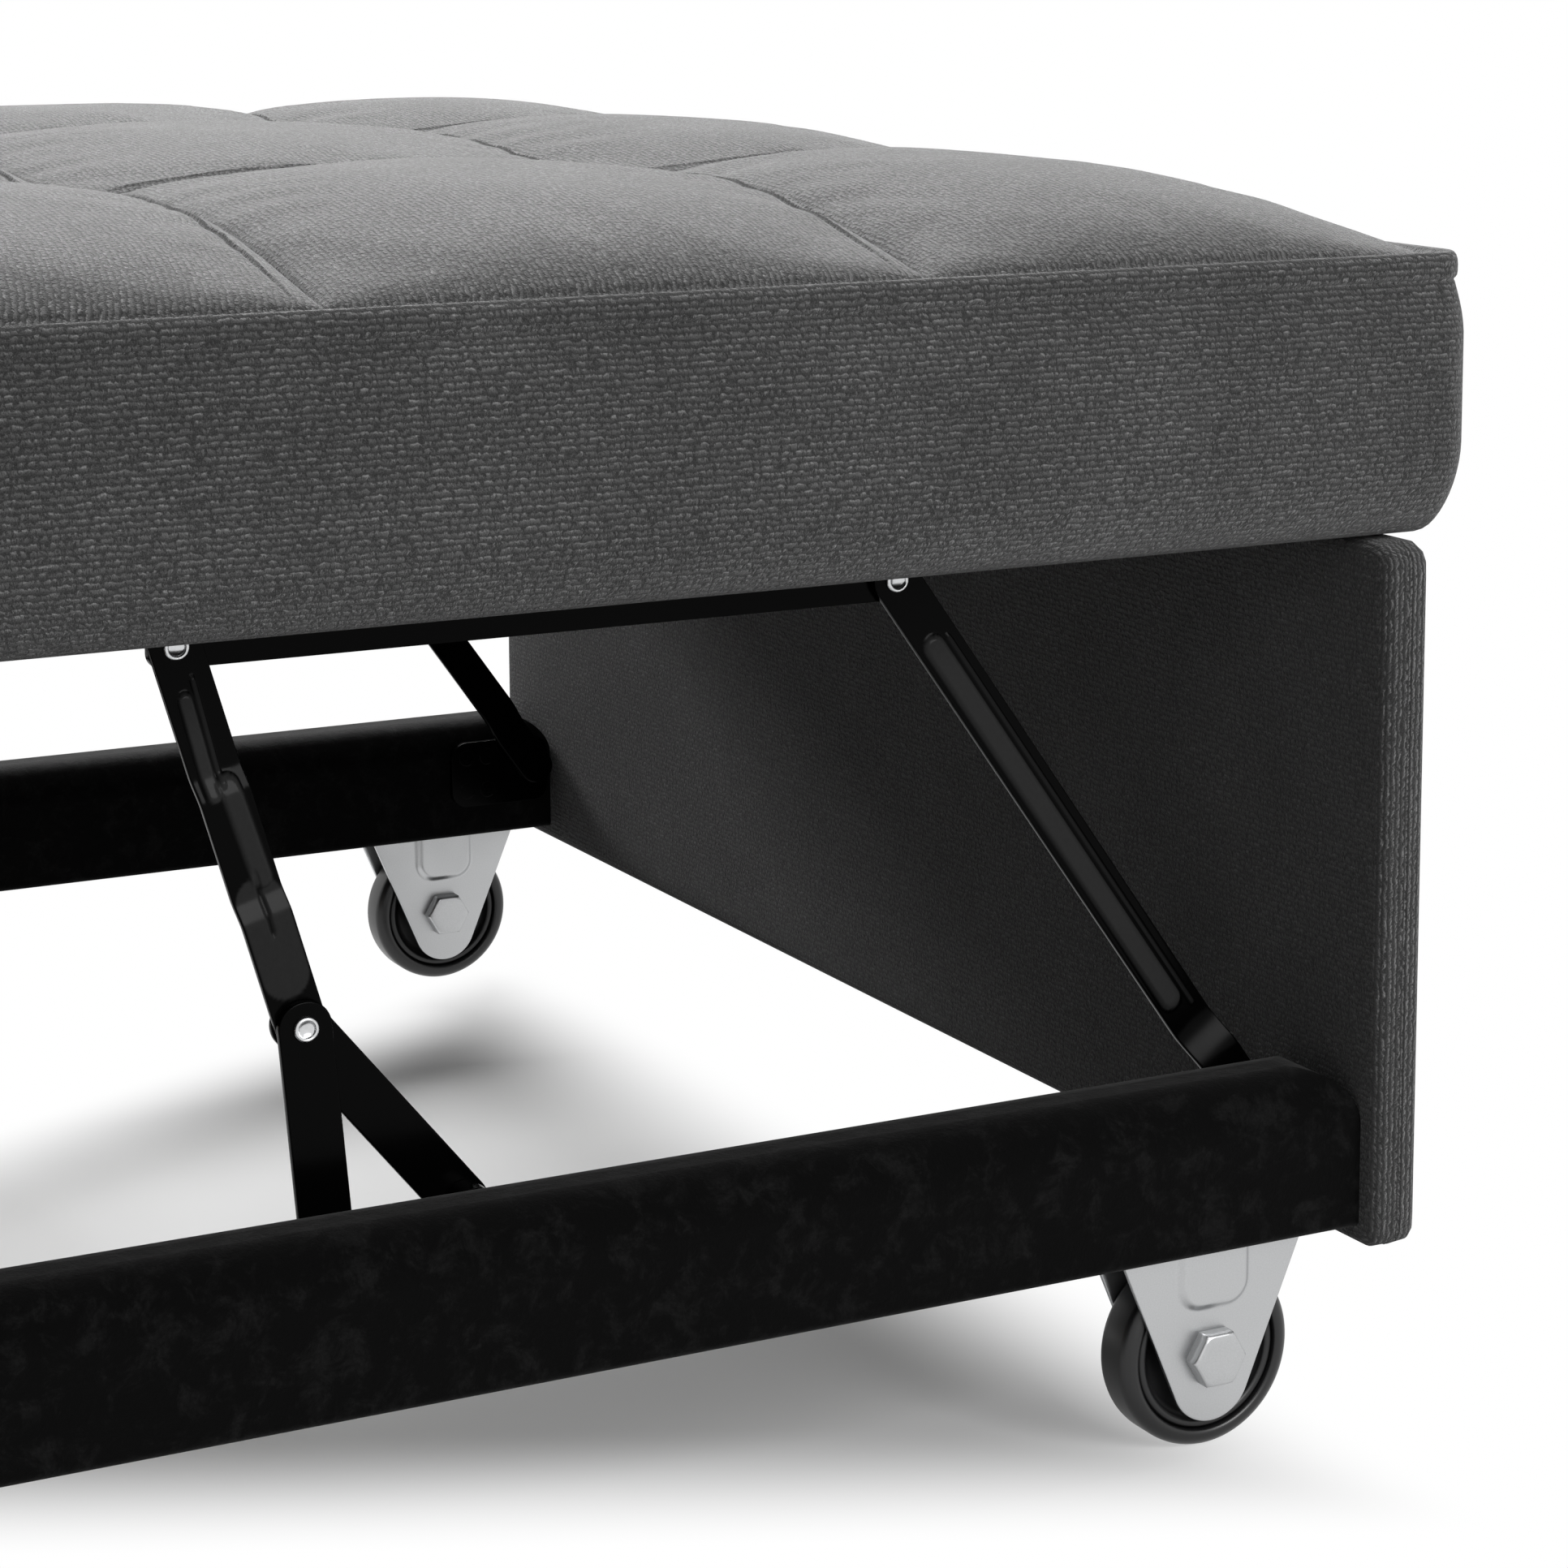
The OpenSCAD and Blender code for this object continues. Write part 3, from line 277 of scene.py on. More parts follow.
@dataclass(frozen=True)
class CrushedVelvet(Finish):
    """Polyester velvet with its pile crushed in patches, some near black and some catching light."""

    dark_hex: str = "#010101"
    light_hex: str = "#1c1c1c"
    patch_mm: float = 12.0
    crushed_from: float = 0.47
    crushed_to: float = 0.66

    def nodes(self, tree: Tree) -> Socket:
        """Broken cloud noise on object coordinates, with finer pile noise as relief.

        Args:
            tree: the material's node tree.

        Returns:
            The shader's output socket.
        """
        at_mm = self.place_mm(tree)
        cloud = put(tree, "TexNoise", {"Vector": at_mm, "Scale": 1 / self.patch_mm, "Detail": 8.0,
                    "Roughness": 0.72, "Distortion": 0.35})
        pile = put(tree, "TexNoise", {"Vector": at_mm, "Scale": 0.9, "Detail": 3.0})
        crushed = put(tree, "MapRange", {"Value": cloud, **span(self.crushed_from, self.crushed_to)},
                      **SMOOTH)
        grain = put(tree, "Math", {0: crushed, 1: pile}, operation="MULTIPLY")
        colour = put(tree, "Mix", {"Factor": grain, "A": linear(self.dark_hex),
                     "B": linear(self.light_hex)}, **COLOURS)
        bump = put(tree, "Bump", {"Height": cloud, "Strength": 0.5, "Distance": 1.2 * MM})
        fine = put(tree, "Bump", {"Height": pile, "Strength": 0.4, "Distance": 0.25 * MM, "Normal": bump})
        return put(tree, "BsdfPrincipled", {
            "Base Color": colour.outputs[2], "Roughness": 0.95, "Specular IOR Level": 0.08,
            "Sheen Weight": 0.06, "Sheen Roughness": 0.5, "Normal": fine}).outputs[0]


@dataclass(frozen=True)
class CoatedMetal(Finish):
    """A smooth hard coat or moulding: a faint grain breaks its gloss, and a small radius softens edges."""

    hex_colour: str = "#0b0b0c"
    metallic: float = 0.0
    roughness: float = 0.24
    spread: float = 0.06
    grain_mm: float = 1.4
    cloud_mm: float = 20.0
    relief_mm: float = 0.01
    edge_mm: float = 0.35
    specular: float = 0.5

    def paint(self, tree: Tree) -> Any:
        """Returns the coating's colour, the same all over."""
        return linear(self.hex_colour)[:3]

    def nodes(self, tree: Tree) -> Socket:
        """Fine noise moves roughness, colour and relief a little.

        Args:
            tree: the material's node tree.

        Returns:
            The shader's output socket.
        """
        at_mm = self.place_mm(tree)
        grain = put(tree, "TexNoise", {"Vector": at_mm, "Scale": 1 / self.grain_mm, "Detail": 2.0})
        cloud = put(tree, "TexNoise", {"Vector": at_mm, "Scale": 1 / self.cloud_mm, "Detail": 3.0})
        low, high = self.roughness - self.spread / 2, self.roughness + self.spread / 2
        rough = put(tree, "MapRange", {"Value": cloud, **span(0.3, 0.7, low, high)})
        shade = put(tree, "MapRange", {"Value": grain, **span(0.3, 0.7, 0.94, 1.04)})
        colour = put(tree, "VectorMath", {0: self.paint(tree), "Scale": shade}, operation="SCALE")
        soft_edge = put(tree, "Bevel", {"Radius": self.edge_mm * MM}, samples=4)
        bump = put(tree, "Bump", {"Height": grain, "Strength": 0.5, "Distance": self.relief_mm * MM,
                   "Normal": soft_edge})
        return put(tree, "BsdfPrincipled", {
            "Base Color": colour, "Metallic": self.metallic, "Roughness": rough,
            "Specular IOR Level": self.specular, "Normal": bump}).outputs[0]


@dataclass(frozen=True)
class PressedPaint(CoatedMetal):
    """Gloss paint with a dark grey painted sheen on ribs and flats, where the cloth map says: a painted
    reflection of the lamps.
    """

    painted_sheen_hex: str = "#2c2c2c"

    def paint(self, tree: Tree) -> Socket:
        """Mixes the black and the grey of the painted sheen by the map's first number.

        Args:
            tree: the material's node tree.

        Returns:
            The colour's output socket.
        """
        place = put(tree, "UVMap", uv_map=CLOTH_MAP)
        axes = put(tree, "SeparateXYZ", {0: place})
        painted_sheen = put(tree, "Math", {0: axes, 1: 0.0}, operation="ADD", use_clamp=True)
        return put(tree, "Mix", {"Factor": painted_sheen, "A": linear(self.hex_colour),
                   "B": linear(self.painted_sheen_hex)}, **COLOURS).outputs[2]


@dataclass(frozen=True)
class SpunFelt(Finish):
    """Black spun-bonded polypropylene, the dust cover under an upholstered board: short matted fibres."""

    hex_colour: str = "#161616"
    fibre_mm: float = 1.3

    def nodes(self, tree: Tree) -> Socket:
        """Fine stretched noise in two directions makes the fibres' colour and relief.

        Args:
            tree: the material's node tree.

        Returns:
            The shader's output socket.
        """
        fibre = put(tree, "TexNoise", {"Vector": self.place_mm(tree), "Scale": 1 / self.fibre_mm,
                    "Detail": 3.0, "Distortion": 1.5})
        tone = put(tree, "MapRange", {"Value": fibre, **span(0.3, 0.7, 0.6, 1.4)})
        colour = put(tree, "VectorMath", {0: linear(self.hex_colour)[:3], "Scale": tone}, operation="SCALE")
        bump = put(tree, "Bump", {"Height": fibre, "Strength": 0.6, "Distance": 0.2 * MM})
        return put(tree, "BsdfPrincipled", {"Base Color": colour, "Roughness": 0.9,
                   "Specular IOR Level": 0.2, "Normal": bump}).outputs[0]


@dataclass(frozen=True)
class SawnWood(Finish):
    """Pine or birch plywood: long fibres along one axis, drawn about 3 mm apart."""

    light_hex: str = "#c9a877"
    dark_hex: str = "#a17d4f"
    along: Triple = (0.02, 0.33, 0.33)
    roughness: float = 0.6

    def nodes(self, tree: Tree) -> Socket:
        """Noise stretched along the grain sets colour and relief.

        Args:
            tree: the material's node tree.

        Returns:
            The shader's output socket.
        """
        grain = put(tree, "TexNoise", {"Vector": self.place_mm(tree, self.along), "Scale": 1.0,
                    "Detail": 5.0, "Distortion": 0.4})
        tone = put(tree, "MapRange", {"Value": grain, **span(0.3, 0.7)})
        colour = put(tree, "Mix", {"Factor": tone, "A": linear(self.light_hex),
                     "B": linear(self.dark_hex)}, **COLOURS)
        bump = put(tree, "Bump", {"Height": grain, "Strength": 0.4, "Distance": 0.2 * MM})
        return put(tree, "BsdfPrincipled", {"Base Color": colour.outputs[2],
                   "Roughness": self.roughness, "Normal": bump}).outputs[0]


# Woven slub: short strokes of painted highlight on gaps of painted shade. Sewn loose on the cushions, drawn
# taut over the boards.
CUSHION_CLOTH = SlubWeave("woven_slub_polyester_grey")
PANEL_CLOTH = SlubWeave("woven_slub_polyester_grey_taut", yarn_hex="#545454", relief_mm=0.9)
# Crushed velvet: near black, with faint grey smears where the pile lies over.
RAIL_VELVET = CrushedVelvet("crushed_velvet_polyester_black")
# Gloss paint on pressed steel: black with soft, narrow streaks of light along its rounded edges.
BLACK_PAINT = CoatedMetal("pressed_steel_gloss_black_paint", "#030303", roughness=0.17,
                          relief_mm=0.004, specular=0.04)
# The pressed arms' paint also has a grey painted sheen on ribs and flats, a painted reflection in its base
# colour.
PRESSED_PAINT = PressedPaint("pressed_steel_black_paint_painted_sheen", "#030303", roughness=0.2,
                             relief_mm=0.004, specular=0.04)
# Spun-bonded cloth: flat black with fine matted fibres.
DUST_COVER = SpunFelt("spun_polypropylene_black")
# Zinc plate: cloudy pale grey on folded sheet, brighter on turned rivets and bolts. The crystals are
# finer than 0.1 mm and are drawn coarser, so that they show.
SATIN_ZINC = CoatedMetal("pressed_steel_satin_zinc", "#b9babb", metallic=1.0, roughness=0.36,
                         grain_mm=0.5, relief_mm=0.012)
BRIGHT_ZINC = CoatedMetal("turned_steel_bright_zinc", "#cfd0d1", metallic=1.0, roughness=0.2,
                          relief_mm=0.004)
# Moulded plastics: broad soft gloss on the tread, duller hubs and feet, off-white rollers.
TREAD_PLASTIC = CoatedMetal("moulded_polyurethane_tread_black", "#0c0c0d", roughness=0.34, relief_mm=0.01)
HUB_PLASTIC = CoatedMetal("moulded_nylon_hub_black", "#0f0f10", roughness=0.4, relief_mm=0.02)
ROLLER_NYLON = CoatedMetal("turned_nylon_white", "#dedcd4", roughness=0.45, relief_mm=0.02)
FOOT_PLASTIC = CoatedMetal("moulded_polypropylene_black", "#0e0e0f", roughness=0.42, relief_mm=0.03)
# Bare wood: pale fibres along the grain.
PLYWOOD = SawnWood("birch_plywood_sawn")
PINE = SawnWood("pine_planed", "#caa16a", "#a67c46", along=(0.02, 0.25, 0.4))


# Surfaces


def to_frame(points: Array) -> Array:
    """Takes millimetres in the panel's frame to metres in the model's frame."""
    return (points - np.array([0.0, MIDDLE_Y, 0.0])) * MM


def smoothstep(low: float, high: float, value: Array) -> Array:
    """0 below low, 1 above high, and 3t^2 - 2t^3 between them."""
    t = np.clip((value - low) / (high - low), 0.0, 1.0)
    return t * t * (3.0 - 2.0 * t)


def quad_mesh(name: str, points: Array, quads: Array) -> bpy.types.Mesh:
    """Makes a mesh from whole arrays.

    Args:
        name: the mesh's name.
        points: points in metres, in an array whose last axis is 3 long.
        quads: four point numbers for each face.

    Returns:
        The mesh.
    """
    mesh = bpy.data.meshes.new(name)
    mesh.vertices.add(points.size // 3)
    mesh.vertices.foreach_set("co", points.astype(np.float32).ravel())
    mesh.loops.add(quads.size)
    mesh.loops.foreach_set("vertex_index", quads.astype(np.int32).ravel())
    mesh.polygons.add(len(quads))
    mesh.polygons.foreach_set("loop_start", np.arange(0, quads.size, 4, dtype=np.int32))
    mesh.update(calc_edges=True)
    return mesh


def cell_corners(grid: Array, axis: int) -> Array:
    """Values at the four corners of each cell of a grid, in order round the cell."""
    return np.stack([grid[:-1, :-1], grid[:-1, 1:], grid[1:, 1:], grid[1:, :-1]], axis=axis)


@dataclass
class Skin:
    """Collects point grids into one mesh, then closes it and points its faces outwards."""

    points: list[Array] = field(default_factory=list)
    quads: list[Array] = field(default_factory=list)
    maps: list[Array] = field(default_factory=list)
    count: int = 0

    def grid(self, at: Array, uv: Array | None = None, wrap: bool = False) -> None:
        """Adds a grid of points.

        Args:
            at: rows x columns x 3 points, in millimetres in the panel's frame.
            uv: cloth map in metres for each point, with one more column where the grid wraps.
            wrap: whether the last column joins the first.
        """
        rows, cols = at.shape[:2]
        index = np.arange(rows * cols).reshape(rows, cols)
        if uv is None:
            uv = np.zeros((rows, cols + wrap, 2))
        if wrap:
            index = np.concatenate([index, index[:, :1]], axis=1)
        self.points.append(at.reshape(-1, 3))
        self.quads.append(cell_corners(index, -1).reshape(-1, 4) + self.count)
        self.maps.append(cell_corners(uv, -2).reshape(-1, 2))
        self.count += rows * cols

    def add(self, other: "Skin") -> None:
        """Adds another skin's grids.

        Args:
            other: the skin whose grids are taken over.
        """
        self.points += other.points
        self.quads += [quads + self.count for quads in other.quads]
        self.maps += other.maps
        self.count += other.count

    def finish(self, name: str, finish: Finish, body: str, slot: str, node: str) -> Piece:
        """Makes the piece, dresses it, and ties it to its body.

        Args:
            name: the piece's name.
            finish: its finish.
            body: the body that it rides on.
            slot: the material slot that it takes after; not used.
            node: the model's node that it stands for.

        Returns:
            The piece.
        """
        mesh = quad_mesh(name, to_frame(np.concatenate(self.points)), np.concatenate(self.quads))
        layer = mesh.uv_layers.new(name=CLOTH_MAP)
        layer.uv.foreach_set("vector", np.concatenate(self.maps).astype(np.float32).ravel())
        work = bmesh.new()
        work.from_mesh(mesh)
        bmesh.ops.remove_doubles(work, verts=work.verts, dist=2e-6)
        bmesh.ops.dissolve_degenerate(work, edges=work.edges, dist=1e-7)
        bmesh.ops.recalc_face_normals(work, faces=work.faces)
        work.to_mesh(mesh)
        work.free()
        mesh.polygons.foreach_set("use_smooth", np.full(len(mesh.polygons), True))
        mesh.update()
        piece = bpy.data.objects.new(name, mesh)
        bpy.context.scene.collection.objects.link(piece)
        finish.dress(piece)
        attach(piece, body)
        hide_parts(node)
        log.info("%s: %d faces", name, len(mesh.polygons))
        return piece


@dataclass(frozen=True)
class Place:
    """Where a piece's own a, b and h axes lie in the panel's frame."""

    origin: Triple
    along_a: Triple
    along_b: Triple
    along_h: Triple

    def put(self, a: Array, b: Array, h: Array) -> Array:
        """Returns the points origin + a A + b B + h H."""
        axes = np.array([self.along_a, self.along_b, self.along_h])
        return np.array(self.origin) + np.stack([a, b, h], axis=-1) @ axes


def turned_place(middle: Pair, pivot: Pair, degrees: float) -> Place:
    """Place of a flat piece after a turn about a line along X: its middle and axes are turned.

    Args:
        middle: the piece's middle in Y and Z, before the turn.
        pivot: the line's place in Y and Z.
        degrees: how far it turns.

    Returns:
        The place after the turn.
    """
    c, s = math.cos(math.radians(degrees)), math.sin(math.radians(degrees))
    dy, dz = middle[0] - pivot[0], middle[1] - pivot[1]
    origin = (0.0, pivot[0] + dy * c - dz * s, pivot[1] + dy * s + dz * c)
    return Place(origin, (1, 0, 0), (0, c, s), (0, -s, c))


def round_corners(a: Array, b: Array, half_a: float, half_b: float, radius: float) -> tuple[Array, Array]:
    """Carries a rectangle's points to a rectangle with round corners.

    A point's offset from the nearest point of the inner rectangle keeps its direction and takes the
    length of its larger part, so that square rings become round ones.

    Args:
        a: first coordinate.
        b: second coordinate.
        half_a: half length along a.
        half_b: half length along b.
        radius: radius of the corners.

    Returns:
        The new coordinates.
    """
    inner_a = np.clip(a, radius - half_a, half_a - radius)
    inner_b = np.clip(b, radius - half_b, half_b - radius)
    step_a, step_b = a - inner_a, b - inner_b
    reach = np.maximum(abs(step_a), abs(step_b))
    length = np.hypot(step_a, step_b)
    scale = np.where(length > 1e-9, reach / np.maximum(length, 1e-9), 1.0)
    return inner_a + step_a * scale, inner_b + step_b * scale


def surface_run(at: Array, axis: int) -> Array:
    """Length along the surface in millimetres from the middle line: the sum of |step| along one axis.

    Args:
        at: rows x columns x 3 points in millimetres.
        axis: 0 for down the columns, 1 for along the rows.

    Returns:
        The length for each point, 0 on the middle line.
    """
    step = np.linalg.norm(np.diff(at, axis=axis), axis=-1)
    start = np.zeros_like(np.take(step, [0], axis=axis))
    total = np.cumsum(np.concatenate([start, step], axis=axis), axis=axis)
    return total - np.take(total, [at.shape[axis] // 2], axis=axis)


@dataclass
class Slab:
    """Closed form between two faces of a rectangle with round corners, joined by rings round its edge.

    Each ring is the outline moved out by its first number at the height of its second. The faces' own
    heights are functions of a and b, and warp moves any point's height afterwards.
    """

    half_a: float
    half_b: float
    radius: float
    rings: Rings
    lines_a: Array
    lines_b: Array
    front: Height
    back: Height
    place: Place
    warp: Height | None = None
    mark: Height | None = None

    def heights(self, a: Array, b: Array, h: Array) -> Array:
        """Returns the points in the panel's frame, after the warp."""
        return self.place.put(a, b, h if self.warp is None else h + self.warp(a, b))

    def skin(self) -> Skin:
        """Builds both faces and the rings.

        Returns:
            The grids, ready to finish.
        """
        skin = Skin()
        first, last = self.rings[0][0], self.rings[-1][0]
        for out, relief in ((first, self.front), (last, self.back)):
            half_a, half_b, radius = self.half_a + out, self.half_b + out, max(self.radius + out, 2.0)
            grid_b, grid_a = np.meshgrid(self.lines_b * half_b, self.lines_a * half_a, indexing="ij")
            a, b = round_corners(grid_a, grid_b, half_a, half_b, radius)
            at = self.heights(a, b, relief(a, b))
            if self.mark is None:
                skin.grid(at, np.stack([surface_run(at, 1), surface_run(at, 0)], axis=-1) * MM)
            # A marked slab carries its mark, here the share of painted sheen, in the cloth map's first
            # number.
            else:
                tone = self.mark(a, b) if relief is self.front else np.zeros_like(a)
                skin.grid(at, np.stack([tone, np.zeros_like(a)], axis=-1))
        side_a, side_b = np.ones(len(self.lines_a) - 1), np.ones(len(self.lines_b) - 1)
        edge_a = np.concatenate([self.lines_a[:-1], side_b, self.lines_a[:0:-1], -side_b])
        edge_b = np.concatenate([-side_a, self.lines_b[:-1], side_a, self.lines_b[:0:-1]])
        rows, levels = [], []
        for n, (out, level) in enumerate(self.rings):
            half_a, half_b, radius = self.half_a + out, self.half_b + out, max(self.radius + out, 2.0)
            a, b = round_corners(edge_a * half_a, edge_b * half_b, half_a, half_b, radius)
            if n == 0:
                height = self.front(a, b)
            elif n == len(self.rings) - 1:
                height = self.back(a, b)
            else:
                height = np.full_like(a, level)
            rows.append((a, b, height))
            levels.append((out, level))
        a, b, h = (np.stack([row[i] for row in rows]) for i in range(3))
        run = np.concatenate([[0.0], np.cumsum(np.hypot(*(np.roll(x[0], -1) - x[0] for x in (a, b))))])
        drop = np.concatenate([[0.0], np.cumsum(np.hypot(*np.diff(np.array(levels), axis=0).T))])
        uv = np.stack(np.meshgrid(run, -drop), axis=-1) * (MM if self.mark is None else 0.0)
        skin.grid(self.heights(a, b, h), uv, wrap=True)
        return skin


def round_edge(radius: float, thickness: float, steps: int = 4) -> Rings:
    """Rings of a plate's edge with both rims rounded: quarter circles joined by a flat.

    Args:
        radius: radius of both rims.
        thickness: thickness of the plate.
        steps: steps in each quarter circle.

    Returns:
        How far out and how high each ring is.
    """
    turn = np.linspace(0.0, math.pi / 2, steps + 1)
    top = [(-radius * (1 - math.sin(t)), thickness - radius * (1 - math.cos(t))) for t in turn]
    return top + [(out, thickness - h) for out, h in reversed(top)]


def even_lines(count: int) -> Array:
    """count + 1 grid lines from -1 to 1."""
    return np.linspace(-1.0, 1.0, count + 1)


def edge_lines(count: int, power: float = 0.6) -> Array:
    """Grid lines from -1 to 1 that crowd towards both ends: sign(t) |t|^power."""
    t = np.linspace(-1.0, 1.0, count + 1)
    return np.sign(t) * abs(t) ** power


def ripple(a: Array, b: Array, size: float, seed: int) -> Array:
    """Sum of five sine waves in seeded directions, about size millimetres long, from -1 to 1.

    Args:
        a: first coordinate.
        b: second coordinate.
        size: length of the waves.
        seed: seed of their directions, phases and lengths.

    Returns:
        The mean of the waves.
    """
    made, waves = np.random.default_rng(seed), 5
    turns, phases, stretches = (made.uniform(*ends, waves) for ends in ((0, np.pi), (0, 6.3), (0.7, 1.6)))
    total = np.zeros_like(a)
    for turn, phase, stretch in zip(turns, phases, stretches):
        total += np.sin(2 * np.pi * (a * np.cos(turn) + b * np.sin(turn)) / (size * stretch) + phase)
    return total / waves


def lathe(skin: Skin, profile: Rings, centre: Triple, sign: float, steps: int) -> None:
    """Turns a profile about an axis along X.

    Args:
        skin: what the grid is added to.
        profile: distance from the axis and place along it, outwards positive.
        centre: a point on the axis, from which the profile is measured.
        sign: -1 where outwards is -X.
        steps: points round the axis.
    """
    radius, place = np.array(profile).T
    turn = np.linspace(0, 2 * np.pi, steps, endpoint=False)
    at = np.stack([
        np.broadcast_to((centre[0] + sign * place)[:, None], (len(radius), steps)),
        centre[1] + radius[:, None] * np.cos(turn), centre[2] + radius[:, None] * np.sin(turn)], axis=-1)
    skin.grid(at, wrap=True)


# Cushions


def blurred(field_of: Array, axis: int, reach: int) -> Array:
    """Mean over reach steps each way along one axis, weighted 1 + cos(pi k / (reach + 1)).

    Args:
        field_of: values on a grid.
        axis: the axis that is blurred.
        reach: steps on each side.

    Returns:
        The blurred values.
    """
    steps = np.arange(-reach, reach + 1)
    weights = 1 + np.cos(np.pi * steps / (reach + 1))
    padding = [(reach, reach) if n == axis else (0, 0) for n in range(2)]
    wide = np.pad(field_of, padding, mode="edge")
    count = field_of.shape[axis]
    here = np.arange(reach, reach + count)
    parts = [w * np.take(wide, here + k, axis) for k, w in zip(steps, weights)]
    return sum(parts) / weights.sum()


@dataclass
class Gathers:
    """Gathers that a cover takes along its seams, from a cloth simulation of the cushion's top.

    A sheet with the top's shape is held along its border and seams, let out by a few hundredths and
    blown up by pressure. What varies along each seam is kept as gathers, to at most cap millimetres.
    """

    half_a: float
    half_b: float
    seams_a: tuple[float, ...]
    seams_b: tuple[float, ...]
    top: Height
    step_mm: float = 8.0
    frames: int = 16
    pressure: float = 4.0
    let_out: float = 0.03
    share: float = 0.55
    cap: float = 1.3
    sheet_mass: float = 0.3
    stiffness: float = 0.5
    blur_steps: int = 4
    turn_mm: float = 25.0
    held_mm: float = 0.01
    lines_a: Array | None = None
    lines_b: Array | None = None
    rise: Array | None = None

    def lines(self, half: float, seams: tuple[float, ...]) -> Array:
        """Even lines from -half to half, the nearest ones moved onto the seams.

        Args:
            half: half the cover's size.
            seams: places of its seams.

        Returns:
            The lines' places.
        """
        made = np.linspace(-half, half, int(2 * half / self.step_mm) + 1)
        for seam in seams:
            made[np.argmin(abs(made - seam))] = seam
        return made

    def sheet(self, points: Array, held: Array) -> Piece:
        """Makes the sheet with its held points in a group.

        Args:
            points: rows x columns x 3 points in metres.
            held: whether each point is held.

        Returns:
            The sheet, in the scene.
        """
        rows, cols = held.shape
        index = np.arange(rows * cols).reshape(rows, cols)
        mesh = quad_mesh("cover_sheet", points, cell_corners(index, -1).reshape(-1, 4))
        sheet = bpy.data.objects.new("cover_sheet", mesh)
        bpy.context.scene.collection.objects.link(sheet)
        sheet.vertex_groups.new(name="held").add(index[held].tolist(), 1.0, "REPLACE")
        return sheet

    def settle(self) -> None:
        """Runs the simulation, keeps the gathers and removes the sheet."""
        self.lines_a = self.lines(self.half_a, self.seams_a)
        self.lines_b = self.lines(self.half_b, self.seams_b)
        b, a = np.meshgrid(self.lines_b, self.lines_a, indexing="ij")
        start = np.stack([a, b, self.top(a, b)], axis=-1) * MM
        off_a = np.min([abs(a - seam) for seam in (-self.half_a, *self.seams_a, self.half_a)], axis=0)
        off_b = np.min([abs(b - seam) for seam in (-self.half_b, *self.seams_b, self.half_b)], axis=0)
        sheet = self.sheet(start, (off_a < self.held_mm) | (off_b < self.held_mm))
        cloth = sheet.modifiers.new("cloth", "CLOTH")
        settings = cloth.settings
        settings.mass, settings.bending_stiffness = self.sheet_mass, self.stiffness
        settings.use_pressure, settings.uniform_pressure_force = True, self.pressure
        settings.vertex_group_mass, settings.shrink_min = "held", -self.let_out
        settings.effector_weights.gravity = 0.0
        cloth.collision_settings.use_collision = False
        scene = bpy.context.scene
        for number in range(1, self.frames + 1):
            scene.frame_set(number)
        seen = sheet.evaluated_get(bpy.context.evaluated_depsgraph_get()).data
        found = np.empty(start.size, dtype=np.float32)
        seen.vertices.foreach_get("co", found)
        moved = (found.reshape(start.shape) - start)[..., 2] / MM
        scene.frame_set(1)
        bpy.data.objects.remove(sheet, do_unlink=True)
        along_b = moved - blurred(moved, 0, self.blur_steps)
        along_a = moved - blurred(moved, 1, self.blur_steps)
        nearer_a = smoothstep(-self.turn_mm, self.turn_mm, off_b - off_a)
        mixed = self.share * (nearer_a * along_b + (1 - nearer_a) * along_a)
        self.rise = self.cap * np.tanh(mixed / self.cap)

    def at(self, a: Array, b: Array) -> Array:
        """Height of the gathers, linear between the sheet's points; the sheet is simulated when first asked
        for.

        Args:
            a: place across the cushion from its middle.
            b: place along it.

        Returns:
            The height in millimetres.
        """
        if self.rise is None:
            self.settle()
        x = np.interp(a, self.lines_a, np.arange(len(self.lines_a)))
        y = np.interp(b, self.lines_b, np.arange(len(self.lines_b)))
        i = np.minimum(x.astype(int), len(self.lines_a) - 2)
        j = np.minimum(y.astype(int), len(self.lines_b) - 2)
        p, q = x - i, y - j
        low = self.rise[j, i] * (1 - p) + self.rise[j, i + 1] * p
        high = self.rise[j + 1, i] * (1 - p) + self.rise[j + 1, i + 1] * p
        return low * (1 - q) + high * q


